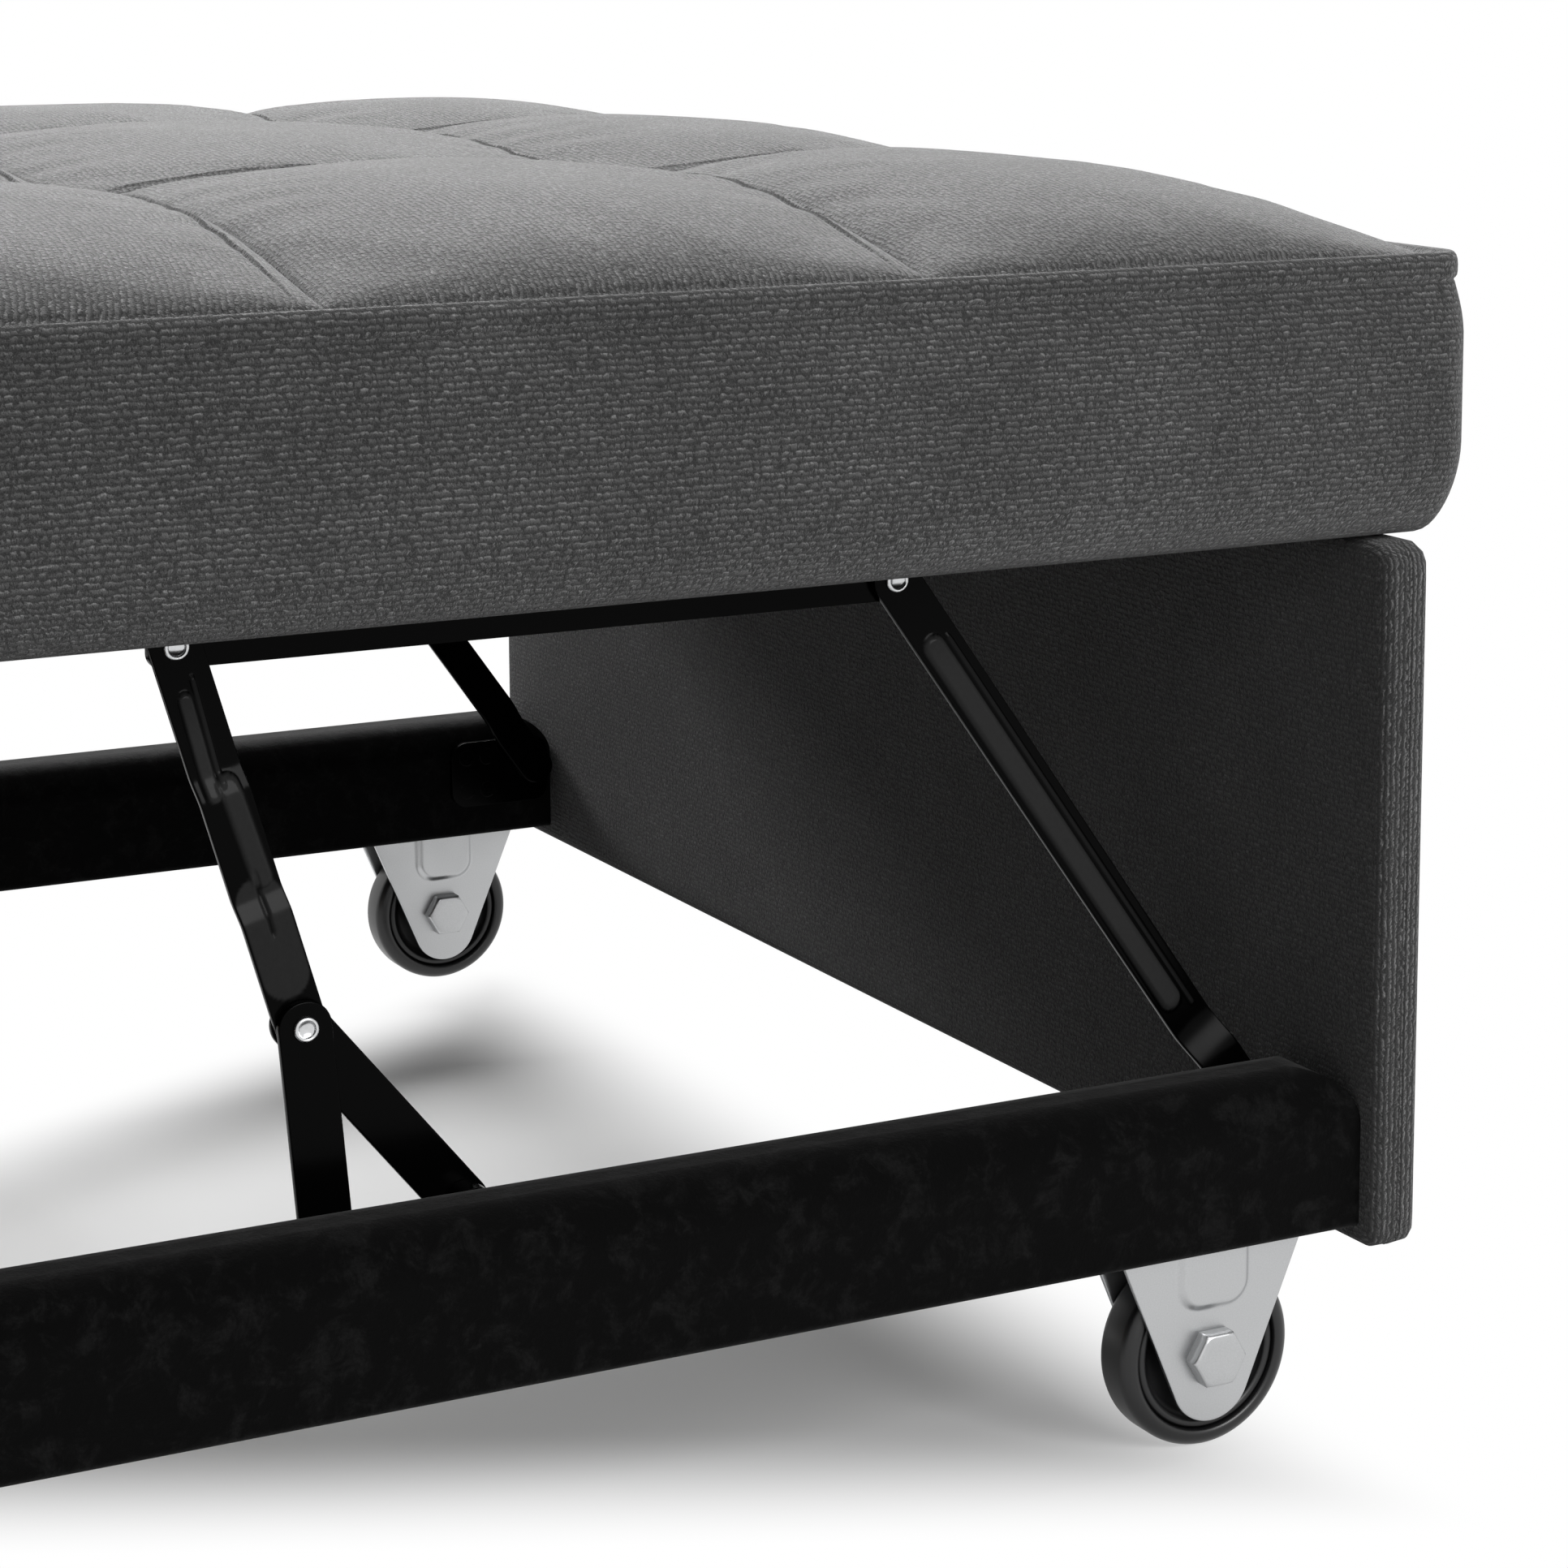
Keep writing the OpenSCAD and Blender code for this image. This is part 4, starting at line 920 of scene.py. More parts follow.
@dataclass
class TuftedCushion:
    """Crowned cushion sewn in cells, with a flat piped lip and a bulging boxing.

    The top is lip + crown (1 - |u|^4.1) (1 - |v|^5.6)^1.5 + puff c(s) c(t) + hump (d(s) + d(t) - d(s) d(t)),
    where c(s) = (4 s (1 - s))^0.4 and d(s) = (4 s (1 - s))^1.6 in each cell: the seams are sharp valleys
    that are deepest where they cross.
    """

    node: str
    body: str
    half_width: float
    front_y: float
    length: float
    seed: int
    turned_about: Pair | None = None
    turned_degrees: float = 0.0
    lip_z: float = 424.5
    rim_z: float = 326.0
    base_z: float = 328.3
    crown: float = 13.7
    puff: float = 13.4
    hump: float = 5.9
    columns: tuple[float, ...] = (0.0, 0.325, 0.675, 1.0)
    rows: tuple[float, ...] = (0.0, 1 / 3, 2 / 3, 1.0)
    grid_mm: float = 5.5
    corner_r: float = 11.0
    lip_in: float = 6.5
    corner_dip: float = 4.0
    bulge: float = 3.0
    tuck_in: float = 16.0
    tuck_h: float = 32.0
    seam_band: float = 8.0
    band_h: float = 1.0
    ridge_h: float = 0.4
    groove_h: float = 0.7
    ripple_h: float = 0.7
    ripple_mm: float = 95.0
    dip_reach: float = 42.0

    def __post_init__(self) -> None:
        """Prepares the gathers, which are simulated when the top is first asked for."""
        self.pleats = self.gathers()

    def lines(self, borders: tuple[float, ...], span: float) -> Array:
        """Grid lines from -1 to 1, close together at every seam and at its folded band.

        Args:
            borders: the cells' borders as shares.
            span: the cushion's size.

        Returns:
            The lines, from -1 to 1.
        """
        after = np.array([0.0, 0.4, 0.8, 1.3, 2.0, 3.2, 5.0, 6.6, 7.2, 7.6, 8.0, 8.4, 8.8, 9.4, 10.4, 12.5])
        before = np.array([3.6, 2.0, 1.2, 0.7, 0.35])
        marks = [np.array([0.0, span])]
        for low, high in zip(borders, borders[1:]):
            low_mm, high_mm = low * span, high * span
            count = int((high_mm - low_mm - 20) / self.grid_mm)
            marks += [low_mm + after, np.linspace(low_mm + 15, high_mm - 6, count), high_mm - before]
        return 2 * np.unique(np.round(np.concatenate(marks), 3)) / span - 1

    def cell(self, share: Array, borders: tuple[float, ...], power: float) -> Array:
        """Height of a cell along one direction, from 0 at its borders to 1: (4 t (1 - t))^power.

        Args:
            share: place as a share of the top.
            borders: the cells' borders as shares.
            power: how round the cell is.

        Returns:
            The height, from 0 to 1.
        """
        edges = np.array(borders)
        k = np.clip(np.searchsorted(edges, share, side="right") - 1, 0, len(edges) - 2)
        t = np.clip((share - edges[k]) / (edges[k + 1] - edges[k]), 0, 1)
        return np.maximum(4 * t * (1 - t), 0) ** power

    def inner(self) -> Pair:
        """Half sizes of the top inside its piped lip."""
        return self.half_width - self.lip_in, self.length / 2 - self.lip_in

    def dip(self, a: Array, b: Array) -> Array:
        """How far the lip sags at the four corners."""
        gap = np.hypot(self.half_width - abs(a), self.length / 2 - abs(b))
        return -self.corner_dip * np.exp(-((gap / self.dip_reach) ** 2))

    def domes(self, a: Array, b: Array) -> Array:
        """Height of the filled cells over the lip, before the cover's own detail.

        Args:
            a: place across the cushion from its middle.
            b: place along it.

        Returns:
            The height in millimetres.
        """
        half_a, half_b = self.inner()
        u, v = np.clip(a / half_a, -1, 1), np.clip(b / half_b, -1, 1)
        rise = self.crown * (1 - abs(u) ** 4.1) * (1 - abs(v) ** 5.6) ** 1.5
        s, t = (u + 1) / 2, (v + 1) / 2
        rise += self.puff * self.cell(s, self.columns, 0.4) * self.cell(t, self.rows, 0.4)
        across, along = self.cell(s, self.columns, 1.6), self.cell(t, self.rows, 1.6)
        return rise + self.hump * (across + along - across * along) * (1 - u ** 12) * (1 - v ** 12)

    def gathers(self) -> Gathers:
        """The cover's gathers, not yet simulated.

        Returns:
            What simulates and holds them.
        """
        half_a, half_b = self.inner()
        seams_a = tuple((2 * border - 1) * half_a for border in self.columns[1:-1])
        seams_b = tuple((2 * border - 1) * half_b for border in self.rows[1:-1])
        return Gathers(half_a, half_b, seams_a, seams_b, self.domes)

    def top(self, a: Array, b: Array) -> Array:
        """Height of the top face: domes, gathers, folded seam bands and a faint ripple.

        Args:
            a: place across the cushion from its middle.
            b: place along it.

        Returns:
            The height in millimetres, as the cushion lies.
        """
        half_a, half_b = self.inner()
        u, v = np.clip(a / half_a, -1, 1), np.clip(b / half_b, -1, 1)
        rise = self.domes(a, b) + self.pleats.at(a, b) * (1 - u ** 16) * (1 - v ** 16)
        for border in self.rows[1:-1]:
            rise += self.felled(b - (2 * border - 1) * half_b, u)
        for border in self.columns[1:-1]:
            rise += self.felled(a - (2 * border - 1) * half_a, v)
        rise += self.ripple_h * ripple(a, b, self.ripple_mm, self.seed) * (1 - u ** 8) * (1 - v ** 8)
        return self.lip_z - 0.3 + rise + self.dip(a, b)

    def felled(self, off: Array, across: Array) -> Array:
        """A seam's folded band: a raised strip on one side, its far edge a ridge and a stitched groove.

        Args:
            off: distance from the seam, positive on the folded side.
            across: place along the seam, from -1 to 1.

        Returns:
            The height in millimetres.
        """
        strip = smoothstep(0.4, 1.8, off) * (1 - smoothstep(self.seam_band - 0.6, self.seam_band + 0.2, off))
        ridge = np.exp(-(((off - self.seam_band + 0.7) / 0.45) ** 2))
        groove = np.exp(-(((off - self.seam_band - 0.5) / 0.5) ** 2))
        return (self.band_h * strip + self.ridge_h * ridge - self.groove_h * groove) * (1 - across ** 12)

    def rings(self) -> Rings:
        """Creased lip, groove, bulging boxing and the tuck under, a superellipse of power 1.75.

        Returns:
            How far out and how high each ring is.
        """
        z = self.lip_z
        lip = [(-self.lip_in, z - 0.3), (-4.6, z - 0.2), (-2.9, z + 0.15), (-1.9, z + 0.25),
               (-1.0, z - 0.15), (-0.2, z - 1.1), (0.3, z - 2.6), (0.5, z - 4.6), (0.45, z - 6.8),
               (0.25, z - 8.1), (-0.2, z - 8.8), (-0.7, z - 9.2), (-0.9, z - 9.7), (-0.5, z - 10.4)]
        neck, high = lip[-1]
        low = self.rim_z + self.tuck_h
        side = [(neck + (self.bulge - neck) * math.sin(math.pi / 2 * min(1.0, t / 0.34)),
                 high + (low - high) * t) for t in np.linspace(0.06, 1, 16)]
        turn = np.linspace(0.0, math.pi / 2, 13)[1:]
        power = 2 / 1.75
        under = [(self.bulge - self.tuck_in * (1 - math.cos(t) ** power),
                  self.rim_z + self.tuck_h * (1 - math.sin(t) ** power)) for t in turn]
        inner = self.bulge - self.tuck_in
        return lip + side + under + [(inner - 5.0, self.rim_z + 0.6), (inner - 12.0, self.base_z)]

    def place(self) -> Place:
        """Flat where it lies, or turned up about its pivot.

        Returns:
            The cushion's place in the bed.
        """
        y = self.front_y + self.length / 2
        if self.turned_about is None:
            return Place((0, y, 0), (1, 0, 0), (0, 1, 0), (0, 0, 1))
        return turned_place((y, 0.0), self.turned_about, self.turned_degrees)

    def build(self) -> None:
        """Builds and dresses the cushion."""
        slab = Slab(self.half_width, self.length / 2, self.corner_r, self.rings(),
                    self.lines(self.columns, 2 * self.half_width), self.lines(self.rows, self.length),
                    self.top, lambda a, b: np.full_like(a, self.base_z), self.place())
        skin = slab.skin()
        piece = skin.finish(f"{self.node}_sewn", CUSHION_CLOTH, self.body, "woven_upholstery", self.node)


# Upholstered boards


@dataclass
class CoveredBoard:
    """A board or frame with padding and a taut cover: rounded rims and faces that crown a little."""

    name: str
    node: str
    body: str
    place: Place
    half_a: float
    half_b: float
    thickness: float
    edge_r: float
    corner_r: float
    swell: float = 1.0
    seed: int = 1
    steps: tuple[int, int] = (60, 30)
    seam_share: float = 0.55
    uneven: float = 0.35
    uneven_mm: float = 150.0

    def swelling(self, a: Array, b: Array) -> Array:
        """How far both faces rise: swell (1 - u^4) (1 - v^4), made uneven by a ripple.

        Args:
            a: place along the board from its middle.
            b: place across it.

        Returns:
            The rise.
        """
        u, v = np.clip(a / self.half_a, -1, 1), np.clip(b / self.half_b, -1, 1)
        uneven = 1 + self.uneven * ripple(a, b, self.uneven_mm, self.seed)
        return self.swell * ((1 - u ** 4) * (1 - v ** 4) * uneven)

    def build(self) -> None:
        """Builds and dresses the board, with a seam sewn in round its edge."""
        rims = round_edge(self.edge_r, self.thickness, 6)
        seam = self.thickness * self.seam_share
        notch = [(0.0, seam + 1.2), (0.25, seam + 0.6), (-0.6, seam), (0.25, seam - 0.6), (0.0, seam - 1.2)]
        rings = rims[:7] + notch + rims[7:]
        slab = Slab(self.half_a, self.half_b, self.corner_r, rings, edge_lines(self.steps[0]),
                    edge_lines(self.steps[1]), lambda a, b: self.thickness + self.swelling(a, b),
                    lambda a, b: -self.swelling(a, b), self.place)
        piece = slab.skin().finish(self.name, PANEL_CLOTH, self.body, "woven_cover", self.node)


# Lift linkage


@dataclass(frozen=True)
class Bead:
    """A pressed rib along a strap, or a flat one; its tone is a share of grey painted sheen, a painted
    reflection.

    Its middle line runs from (low, first) to (high, last). A point's distance is taken from the line
    shortened by the half width at both ends, so that the ends are round.
    """

    low: float
    high: float
    first: float
    last: float
    half: float
    tall: float
    tone: float

    def off(self, t: Array, b: Array) -> Array:
        """Distance from the shortened middle line.

        Args:
            t: place along the strap from its first pivot.
            b: place across it.

        Returns:
            The distance in millimetres.
        """
        share = np.clip((t - self.low) / (self.high - self.low), 0, 1)
        end = np.maximum(0, np.maximum(self.low + self.half - t, t - self.high + self.half))
        return np.hypot(end, b - self.first - (self.last - self.first) * share)

    def rise(self, t: Array, b: Array) -> Array:
        """Height: tall on the rib, with shoulders that fall as a smoothstep over its outer half."""
        return self.tall * (1 - smoothstep(self.half * 0.55, self.half * 1.15, self.off(t, b)))

    def painted_sheen(self, t: Array, b: Array) -> Array:
        """Share of grey painted sheen: the rib's tone inside its edge, 0 outside."""
        return self.tone * (1 - smoothstep(self.half - 0.9, self.half + 0.1, self.off(t, b)))


@dataclass
class PressedStrap:
    """Flat strap with rounded rims, sideways steps and pressed beads, between two pivots.

    Along the strap t runs from the first pivot, and b runs across it. Each step moves the strap inwards
    over its run. A bead's tone is its share of grey painted sheen; a bead with a negative tone darkens the
    painted sheen that the others made.
    """

    node: str
    body: str
    side: Side
    first: Pair
    second: Pair
    outer_x: float
    width: float = 17.0
    thickness: float = 3.0
    squareness: float = 0.97
    rim_r: float = 0.5
    grid_mm: float = 0.9
    steps: tuple[Triple, ...] = ()
    beads: tuple[Bead, ...] = ()

    @property
    def length(self) -> float:
        """Distance between the pivots."""
        return math.hypot(self.second[0] - self.first[0], self.second[1] - self.first[1])

    def aside(self, a: Array, b: Array) -> Array:
        """How far the steps move the strap: each falls by its depth as a smoothstep over its run.

        Args:
            a: place along the strap from its middle.
            b: place across it.

        Returns:
            The move, negative inwards.
        """
        total = np.zeros_like(a)
        for at, by, run in self.steps:
            total -= by * smoothstep(at - run / 2, at + run / 2, a + self.length / 2)
        return total

    def front(self, a: Array, b: Array) -> Array:
        """Height of the outer face: the thickness and the rise of each bead."""
        rise = sum(bead.rise(a + self.length / 2, b) for bead in self.beads)
        return np.full_like(a, self.thickness) + rise

    def mark(self, a: Array, b: Array) -> Array:
        """How much grey painted sheen the paint gets: the largest of the beads' tones, darkened by negative
        ones.

        Args:
            a: place along the strap from its middle.
            b: place across it.

        Returns:
            The share of grey painted sheen, from 0 to 1.
        """
        total = np.zeros_like(a)
        for bead in self.beads:
            tone = bead.painted_sheen(a + self.length / 2, b)
            total = np.maximum(total, tone) if bead.tone > 0 else total * (1 + tone)
        return total

    def build(self) -> None:
        """Builds and dresses the strap."""
        length = self.length
        ty, tz = (self.second[0] - self.first[0]) / length, (self.second[1] - self.first[1]) / length
        half_a, half_b = (length + self.width) / 2, self.width / 2
        middle = ((self.first[0] + self.second[0]) / 2, (self.first[1] + self.second[1]) / 2)
        x = self.side.value
        place = Place((x * (self.outer_x - self.thickness), *middle), (0, ty, tz), (0, -tz, ty), (x, 0, 0))
        slab = Slab(half_a, half_b, half_b * self.squareness, round_edge(self.rim_r, self.thickness, 3),
                    even_lines(int(length / self.grid_mm)), even_lines(44), self.front,
                    lambda a, b: np.zeros_like(a), place, warp=self.aside, mark=self.mark)
        slab.skin().finish(f"{self.node}_pressed", PRESSED_PAINT, self.body, "black_steel", self.node)


@dataclass
class Rivet:
    """Tubular rivet: a rolled rim round a recessed middle on its outer end, and a plain chamfered head on
    its inner end.
    """

    out_x: float
    in_x: float
    centre: Pair
    head_r: float = 4.3
    head_h: float = 1.4
    shank_r: float = 3.1

    def add_to(self, skin: Skin, side: Side) -> None:
        """Turns the profile about the rivet's axis, on one side of the bed.

        Args:
            skin: what the grid is added to.
            side: the side of the bed.
        """
        h, r, o, i = self.head_h, self.head_r, self.out_x, self.in_x
        rolled = [(0.0, 0.25), (0.56, 0.3), (0.64, 0.55), (0.7, 0.92), (0.77, 1.0), (0.86, 0.95),
                  (0.95, 0.7), (1.0, 0.35), (1.0, 0.0)]
        profile = [(r * share, o + h * rise) for share, rise in rolled]
        profile += [(self.shank_r, o), (self.shank_r, i), (r, i), (r, i - h * 0.5), (r * 0.8, i - h),
                    (0.0, i - h)]
        lathe(skin, profile, (0.0, *self.centre), side.value, 48)


@dataclass
class LiftLinkage:
    """The arms, links and rivets that raise the cushion."""

    front_foot: Pair = (12.0, 111.0)
    front_top: Pair = (156.464, 315.034)
    rear_top: Pair = (411.964, 315.034)
    knee: Pair = (375.964, 189.534)
    prop_pin: Pair = (369.364, 108.0)
    stay_foot: Pair = (320.584, 121.146)
    prop_x: float = 330.0
    lower_arm_x: float = 326.7
    stay_x: float = 323.4
    upper_arm_x: float = 320.7
    bar_x: float = 317.4
    link_w: float = 18.0
    # The last number of each bead is its share of grey painted sheen, a painted reflection.
    front_beads: tuple[Bead, ...] = (
        Bead(48.0, 226.0, -2.3, -2.3, 4.6, 1.6, 1.0), Bead(44.0, 222.0, 4.0, 4.0, 1.2, 0.7, 0.35))
    rear_beads: tuple[Bead, ...] = (
        Bead(10.0, 52.0, 0.0, 0.0, 8.2, 0.0, 0.85), Bead(32.0, 54.0, 0.3, 1.0, 1.0, -0.7, -0.9),
        Bead(47.0, 87.0, 3.0, 1.6, 3.9, 1.3, 0.95), Bead(79.0, 116.0, -3.6, -2.4, 2.7, 1.3, 1.0),
        Bead(83.0, 120.0, 0.3, 1.8, 1.1, 0.8, 0.5))

    def build(self) -> None:
        """Builds both sides."""
        for side in Side:
            word = side.name.lower()
            PressedStrap(f"{word}_front_arm", "front_arms", side, self.front_foot, self.front_top,
                         self.lower_arm_x, steps=((30.0, 6.0, 20.0),), beads=self.front_beads).build()
            PressedStrap(f"{word}_rear_arm", "rear_arms", side, self.knee, self.rear_top,
                         self.lower_arm_x, squareness=0.6, steps=((42.0, 3.0, 11.0), (84.0, 3.0, 11.0)),
                         beads=self.rear_beads).build()
            PressedStrap(f"{word}_prop_link", "prop_links", side, self.prop_pin, self.knee, self.prop_x,
                         width=self.link_w).build()
            PressedStrap(f"{word}_stay", "stays", side, self.stay_foot, self.knee, self.stay_x,
                         width=self.link_w).build()
        for name, body, place, out_x, in_x in (
                ("front_arm_rivets", "front_arms", self.front_top, self.upper_arm_x, self.bar_x - 3.0),
                ("rear_arm_rivets", "lift_frame", self.rear_top, self.upper_arm_x, self.bar_x - 3.0),
                ("knee_rivets", "rear_arms", self.knee, self.prop_x, self.stay_x - 3.0)):
            skin = Skin()
            for side in Side:
                Rivet(out_x, in_x, place).add_to(skin, side)
            skin.finish(f"{name}_turned", BRIGHT_ZINC, body, "bright_zinc", name)


# Castors


@dataclass
class Castor:
    """A wheel between the legs of a folded fork, on a bolt with a hexagon head."""

    side: Side
    middle_x: float = 356.0
    axle: Pair = (55.0, 35.0)
    rail_z: float = 76.0
    half_top: float = 38.0
    tip_r: float = 16.0
    tip_z: float = 26.5
    fork_w: float = 24.0
    sheet_t: float = 2.0
    rim_r: float = 0.45
    plate_t: float = 2.5
    panel_half: float = 15.5
    panel_h: float = 24.0
    panel_r: float = 10.0
    panel_rise: float = 2.0
    panel_slope: float = 3.4
    wheel_r: float = 35.0
    wheel_w: float = 19.0
    tread_r: float = 4.6

    def outline(self, count: int) -> Array:
        """Points of the leg's outline, from the rail's front end round the tip and back along the rail.

        Args:
            count: number of points.

        Returns:
            count x 2 offsets in Y from the axle and heights in Z.
        """
        fall = self.rail_z - self.tip_z
        lean = math.atan2(self.half_top, fall) - math.asin(self.tip_r / math.hypot(self.half_top, fall))
        arc = np.linspace(-lean, -math.pi + lean, 60)
        tip = np.stack([self.tip_r * np.cos(arc), self.tip_z + self.tip_r * np.sin(arc)], axis=-1)
        front, back = [self.half_top, self.rail_z], [-self.half_top, self.rail_z]
        corners = np.concatenate([[front], tip, [back, front]])
        run = np.concatenate([[0], np.cumsum(np.hypot(*np.diff(corners, axis=0).T))])
        even = np.linspace(0, run[-1], count, endpoint=False)
        return np.stack([np.interp(even, run, corners[:, 0]), np.interp(even, run, corners[:, 1])], axis=-1)

    def embossed(self, y: Array, z: Array) -> Array:
        """Height of the raised panel under the rail: a rounded rectangle open at the top.

        Args:
            y: place from the axle.
            z: height from the floor.

        Returns:
            The height over the sheet.
        """
        r = self.panel_r
        off_y = np.maximum(abs(y) - (self.panel_half - r), 0)
        off_z = np.maximum(self.rail_z - self.panel_h + r - z, 0)
        return self.panel_rise * smoothstep(0.0, self.panel_slope, r - np.hypot(off_y, off_z))

    def leg(self, skin: Skin, x: float, outward: float, embossed: bool) -> None:
        """Adds one leg: its outline shrunk towards a centre, with rounded rims and the raised panel.

        Args:
            skin: what the grid is added to.
            x: the leg's inner face.
            outward: -1 where outwards is -X.
            embossed: whether the leg has the raised panel.
        """
        line, centre = self.outline(220), np.array([0.0, 50.0])
        outer, inner, rim = 60, 20, self.rim_r
        bend = np.array([0.3, 0.8, 1.57])
        shares = np.concatenate([np.linspace(0, 1, outer) ** 0.8, np.ones(5), np.linspace(1, 0, inner)])
        insets = np.concatenate([np.full(outer, rim), rim * (1 - np.sin(bend)), [rim * (1 - np.sin(1.57))],
                                 [0.2], np.full(inner, rim)])
        levels = np.concatenate([np.full(outer, self.sheet_t), self.sheet_t - rim * (1 - np.cos(bend)),
                                 [0.3, 0.1], np.full(inner, 0.0)])
        reach = np.hypot(*(line - centre).T)
        scale = shares[:, None] * (1 - insets[:, None] / reach[None, :])
        at = centre + (line - centre)[None] * scale[..., None]
        height = np.broadcast_to(levels[:, None], at.shape[:2]).copy()
        if embossed:
            height[:outer] += self.embossed(at[:outer, :, 0], at[:outer, :, 1])
        spots = np.stack([x + outward * height, self.axle[0] + at[..., 0], at[..., 1]], axis=-1)
        skin.grid(spots, wrap=True)

    def fork(self) -> None:
        """Builds both legs and the plate under the rail."""
        skin, x, half = Skin(), self.side.value * self.middle_x, self.fork_w / 2
        self.leg(skin, x - half + self.sheet_t, -1.0, True)
        self.leg(skin, x + half - self.sheet_t, 1.0, False)
        t = self.plate_t
        place = Place((x, self.axle[0], self.rail_z - t), (1, 0, 0), (0, 1, 0), (0, 0, 1))
        plate = Slab(half - 0.2, self.half_top, 2.0, round_edge(0.4, t, 2), even_lines(4), even_lines(8),
                     lambda a, b: np.full_like(a, t), lambda a, b: np.zeros_like(a), place)
        skin.add(plate.skin())
        node = f"{self.side.name.lower()}_castor_fork"
        skin.finish(f"{node}_folded", SATIN_ZINC, "carriage", "satin_zinc", node)

    def turned(self, half: Rings, name: str, finish: Finish, slot: str, node: str) -> None:
        """Turns a ring that is the same on both sides.

        Args:
            half: its outer half: distance from the axle and from the wheel's middle.
            name: the piece's name.
            finish: its finish.
            slot: the material slot that it takes after.
            node: the model's node that it stands for.
        """
        skin = Skin()
        centre = (self.side.value * self.middle_x, *self.axle)
        lathe(skin, half + [(d, -p) for d, p in reversed(half)] + [half[0]], centre, 1.0, 128)
        skin.finish(name, finish, f"{self.side.name.lower()}_castor", slot, node)

    def wheel(self) -> None:
        """Turns the tread and the recessed hub."""
        word, r, w, round_r = self.side.name.lower(), self.wheel_r, self.wheel_w / 2, self.tread_r
        arc = np.linspace(0, math.pi / 2, 7)
        rim = [(r - round_r + round_r * math.sin(t), w - round_r + round_r * math.cos(t)) for t in arc]
        tread = [(r - 6.6, w - 3.0), (r - 6.4, w - 0.9), (r - 5.8, w - 0.15)] + rim
        self.turned(tread, f"{word}_castor_tread", TREAD_PLASTIC, "wheel_tread", f"{word}_castor_tyre")
        face = [(6.1, w - 0.3), (12.0, w - 0.3), (12.8, w - 1.0), (13.2, 5.2), (14.6, 4.4), (22.0, 4.3),
                (24.2, 5.0), (25.0, w - 2.2), (25.6, w - 1.3), (27.2, w - 1.2), (28.0, w - 2.0),
                (28.5, w - 3.2)]
        node = f"{word}_castor_hub"
        self.turned(face, f"{node}_moulded", HUB_PLASTIC, "wheel_hub", node)

    def build(self) -> None:
        """Builds the fork and the wheel."""
        self.fork()
        self.wheel()


@dataclass
class AxleBolts:
    """Both axle bolts: hexagon heads with a chamfered rim on the -X side, and plain shanks."""

    middle_x: float = 356.0
    axle: Pair = (55.0, 35.0)
    head_x: float = 12.0
    head_h: float = 6.2
    across_flats: float = 19.0
    shank_r: float = 6.0
    tip_r: float = 0.6
    end: float = 21.5

    def build(self) -> None:
        """Builds the hexagon as rings whose radius blends from a hexagon to a circle at the chamfer."""
        turn = np.linspace(0, 2 * np.pi, 144, endpoint=False)
        flat = self.across_flats / 2
        hexagon = flat / np.cos((turn + np.pi / 6) % (np.pi / 3) - np.pi / 6)
        top = self.head_h
        rings = [(0.0, 0.0, top), (0.0, 0.6, top), (0.0, 0.9, top), (0.12, 0.955, top - 0.12),
                 (0.5, 0.985, top - 0.5), (1.0, 1.0, top - 1.1), (1.0, 1.0, 0.0)]
        r, tip = self.shank_r, self.tip_r
        shank = [(r, -self.head_x), (r, self.end - tip), (r - tip, self.end), (0.0, self.end)]
        skin = Skin()
        for x in (-self.middle_x, self.middle_x):
            rows = []
            for mix, share, height in rings:
                radius = share * np.minimum(hexagon, mix * hexagon + (1 - mix) * flat * 1.06)
                rows.append((radius, np.full_like(turn, x - self.head_x - height)))
            for radius, place in shank:
                rows.append((np.full_like(turn, radius), np.full_like(turn, x + place)))
            radii, places = (np.stack([row[n] for row in rows]) for n in range(2))
            at = [places, self.axle[0] + radii * np.sin(turn), self.axle[1] + radii * np.cos(turn)]
            skin.grid(np.stack(at, axis=-1), wrap=True)
        skin.finish("axle_bolts_forged", SATIN_ZINC, "carriage", "bright_zinc", "axle_bolts")


# The whole bed


@dataclass
class ChairBody:
    """The chair behind the pull-out: arms, rear panel, seat and backrest."""

    inner_x: float = 394.5
    arm_w: float = 138.0
    front_y: float = 690.0
    depth: float = 850.0
    low_z: float = 69.0
    high_z: float = 600.0
    pivot: Pair = (1322.5, 404.5)
    raised: float = 78.0
    rear_y: float = 1504.0
    rear_t: float = 22.0
    rear_top: float = 303.7
    board_middle: Pair = (1596.5, 304.0)
    cushion_length: float = 580.0

    def build(self) -> None:
        """Builds the upholstered pieces."""
        middle_y, middle_z = self.front_y + self.depth / 2, (self.low_z + self.high_z) / 2
        for side in Side:
            word, x = side.name.lower(), side.value
            place = Place((x * self.inner_x, middle_y, middle_z), (0, 1, 0), (0, 0, 1), (x, 0, 0))
            CoveredBoard(f"{word}_armrest_padded", f"{word}_armrest", "chair", place, self.depth / 2,
                         (self.high_z - self.low_z) / 2, self.arm_w, 26.0, 34.0, swell=2.0,
                         seed=5 + int(x)).build()
        low, high = self.low_z, self.rear_top
        rear = Place((0.0, self.rear_y, (low + high) / 2), (1, 0, 0), (0, 0, 1), (0, 1, 0))
        CoveredBoard("rear_panel_covered", "rear_panel", "chair", rear, self.inner_x - 0.4,
                     (high - low) / 2, self.rear_t, 4.5, 6.0, swell=0.0, seed=9).build()
        back = turned_place(self.board_middle, self.pivot, self.raised)
        CoveredBoard("backrest_board_covered", "backrest_board", "backrest", back, 384.5, 289.5, 24.0,
                     5.0, 10.0, swell=0.0, seed=11, steps=(60, 44)).build()
        TuftedCushion("seat_cushion", "chair", 383.0, 706.5, self.cushion_length, 21).build()
        TuftedCushion("backrest_cushion", "backrest", 378.0, 1306.5, self.cushion_length, 33,
                      self.pivot, self.raised).build()


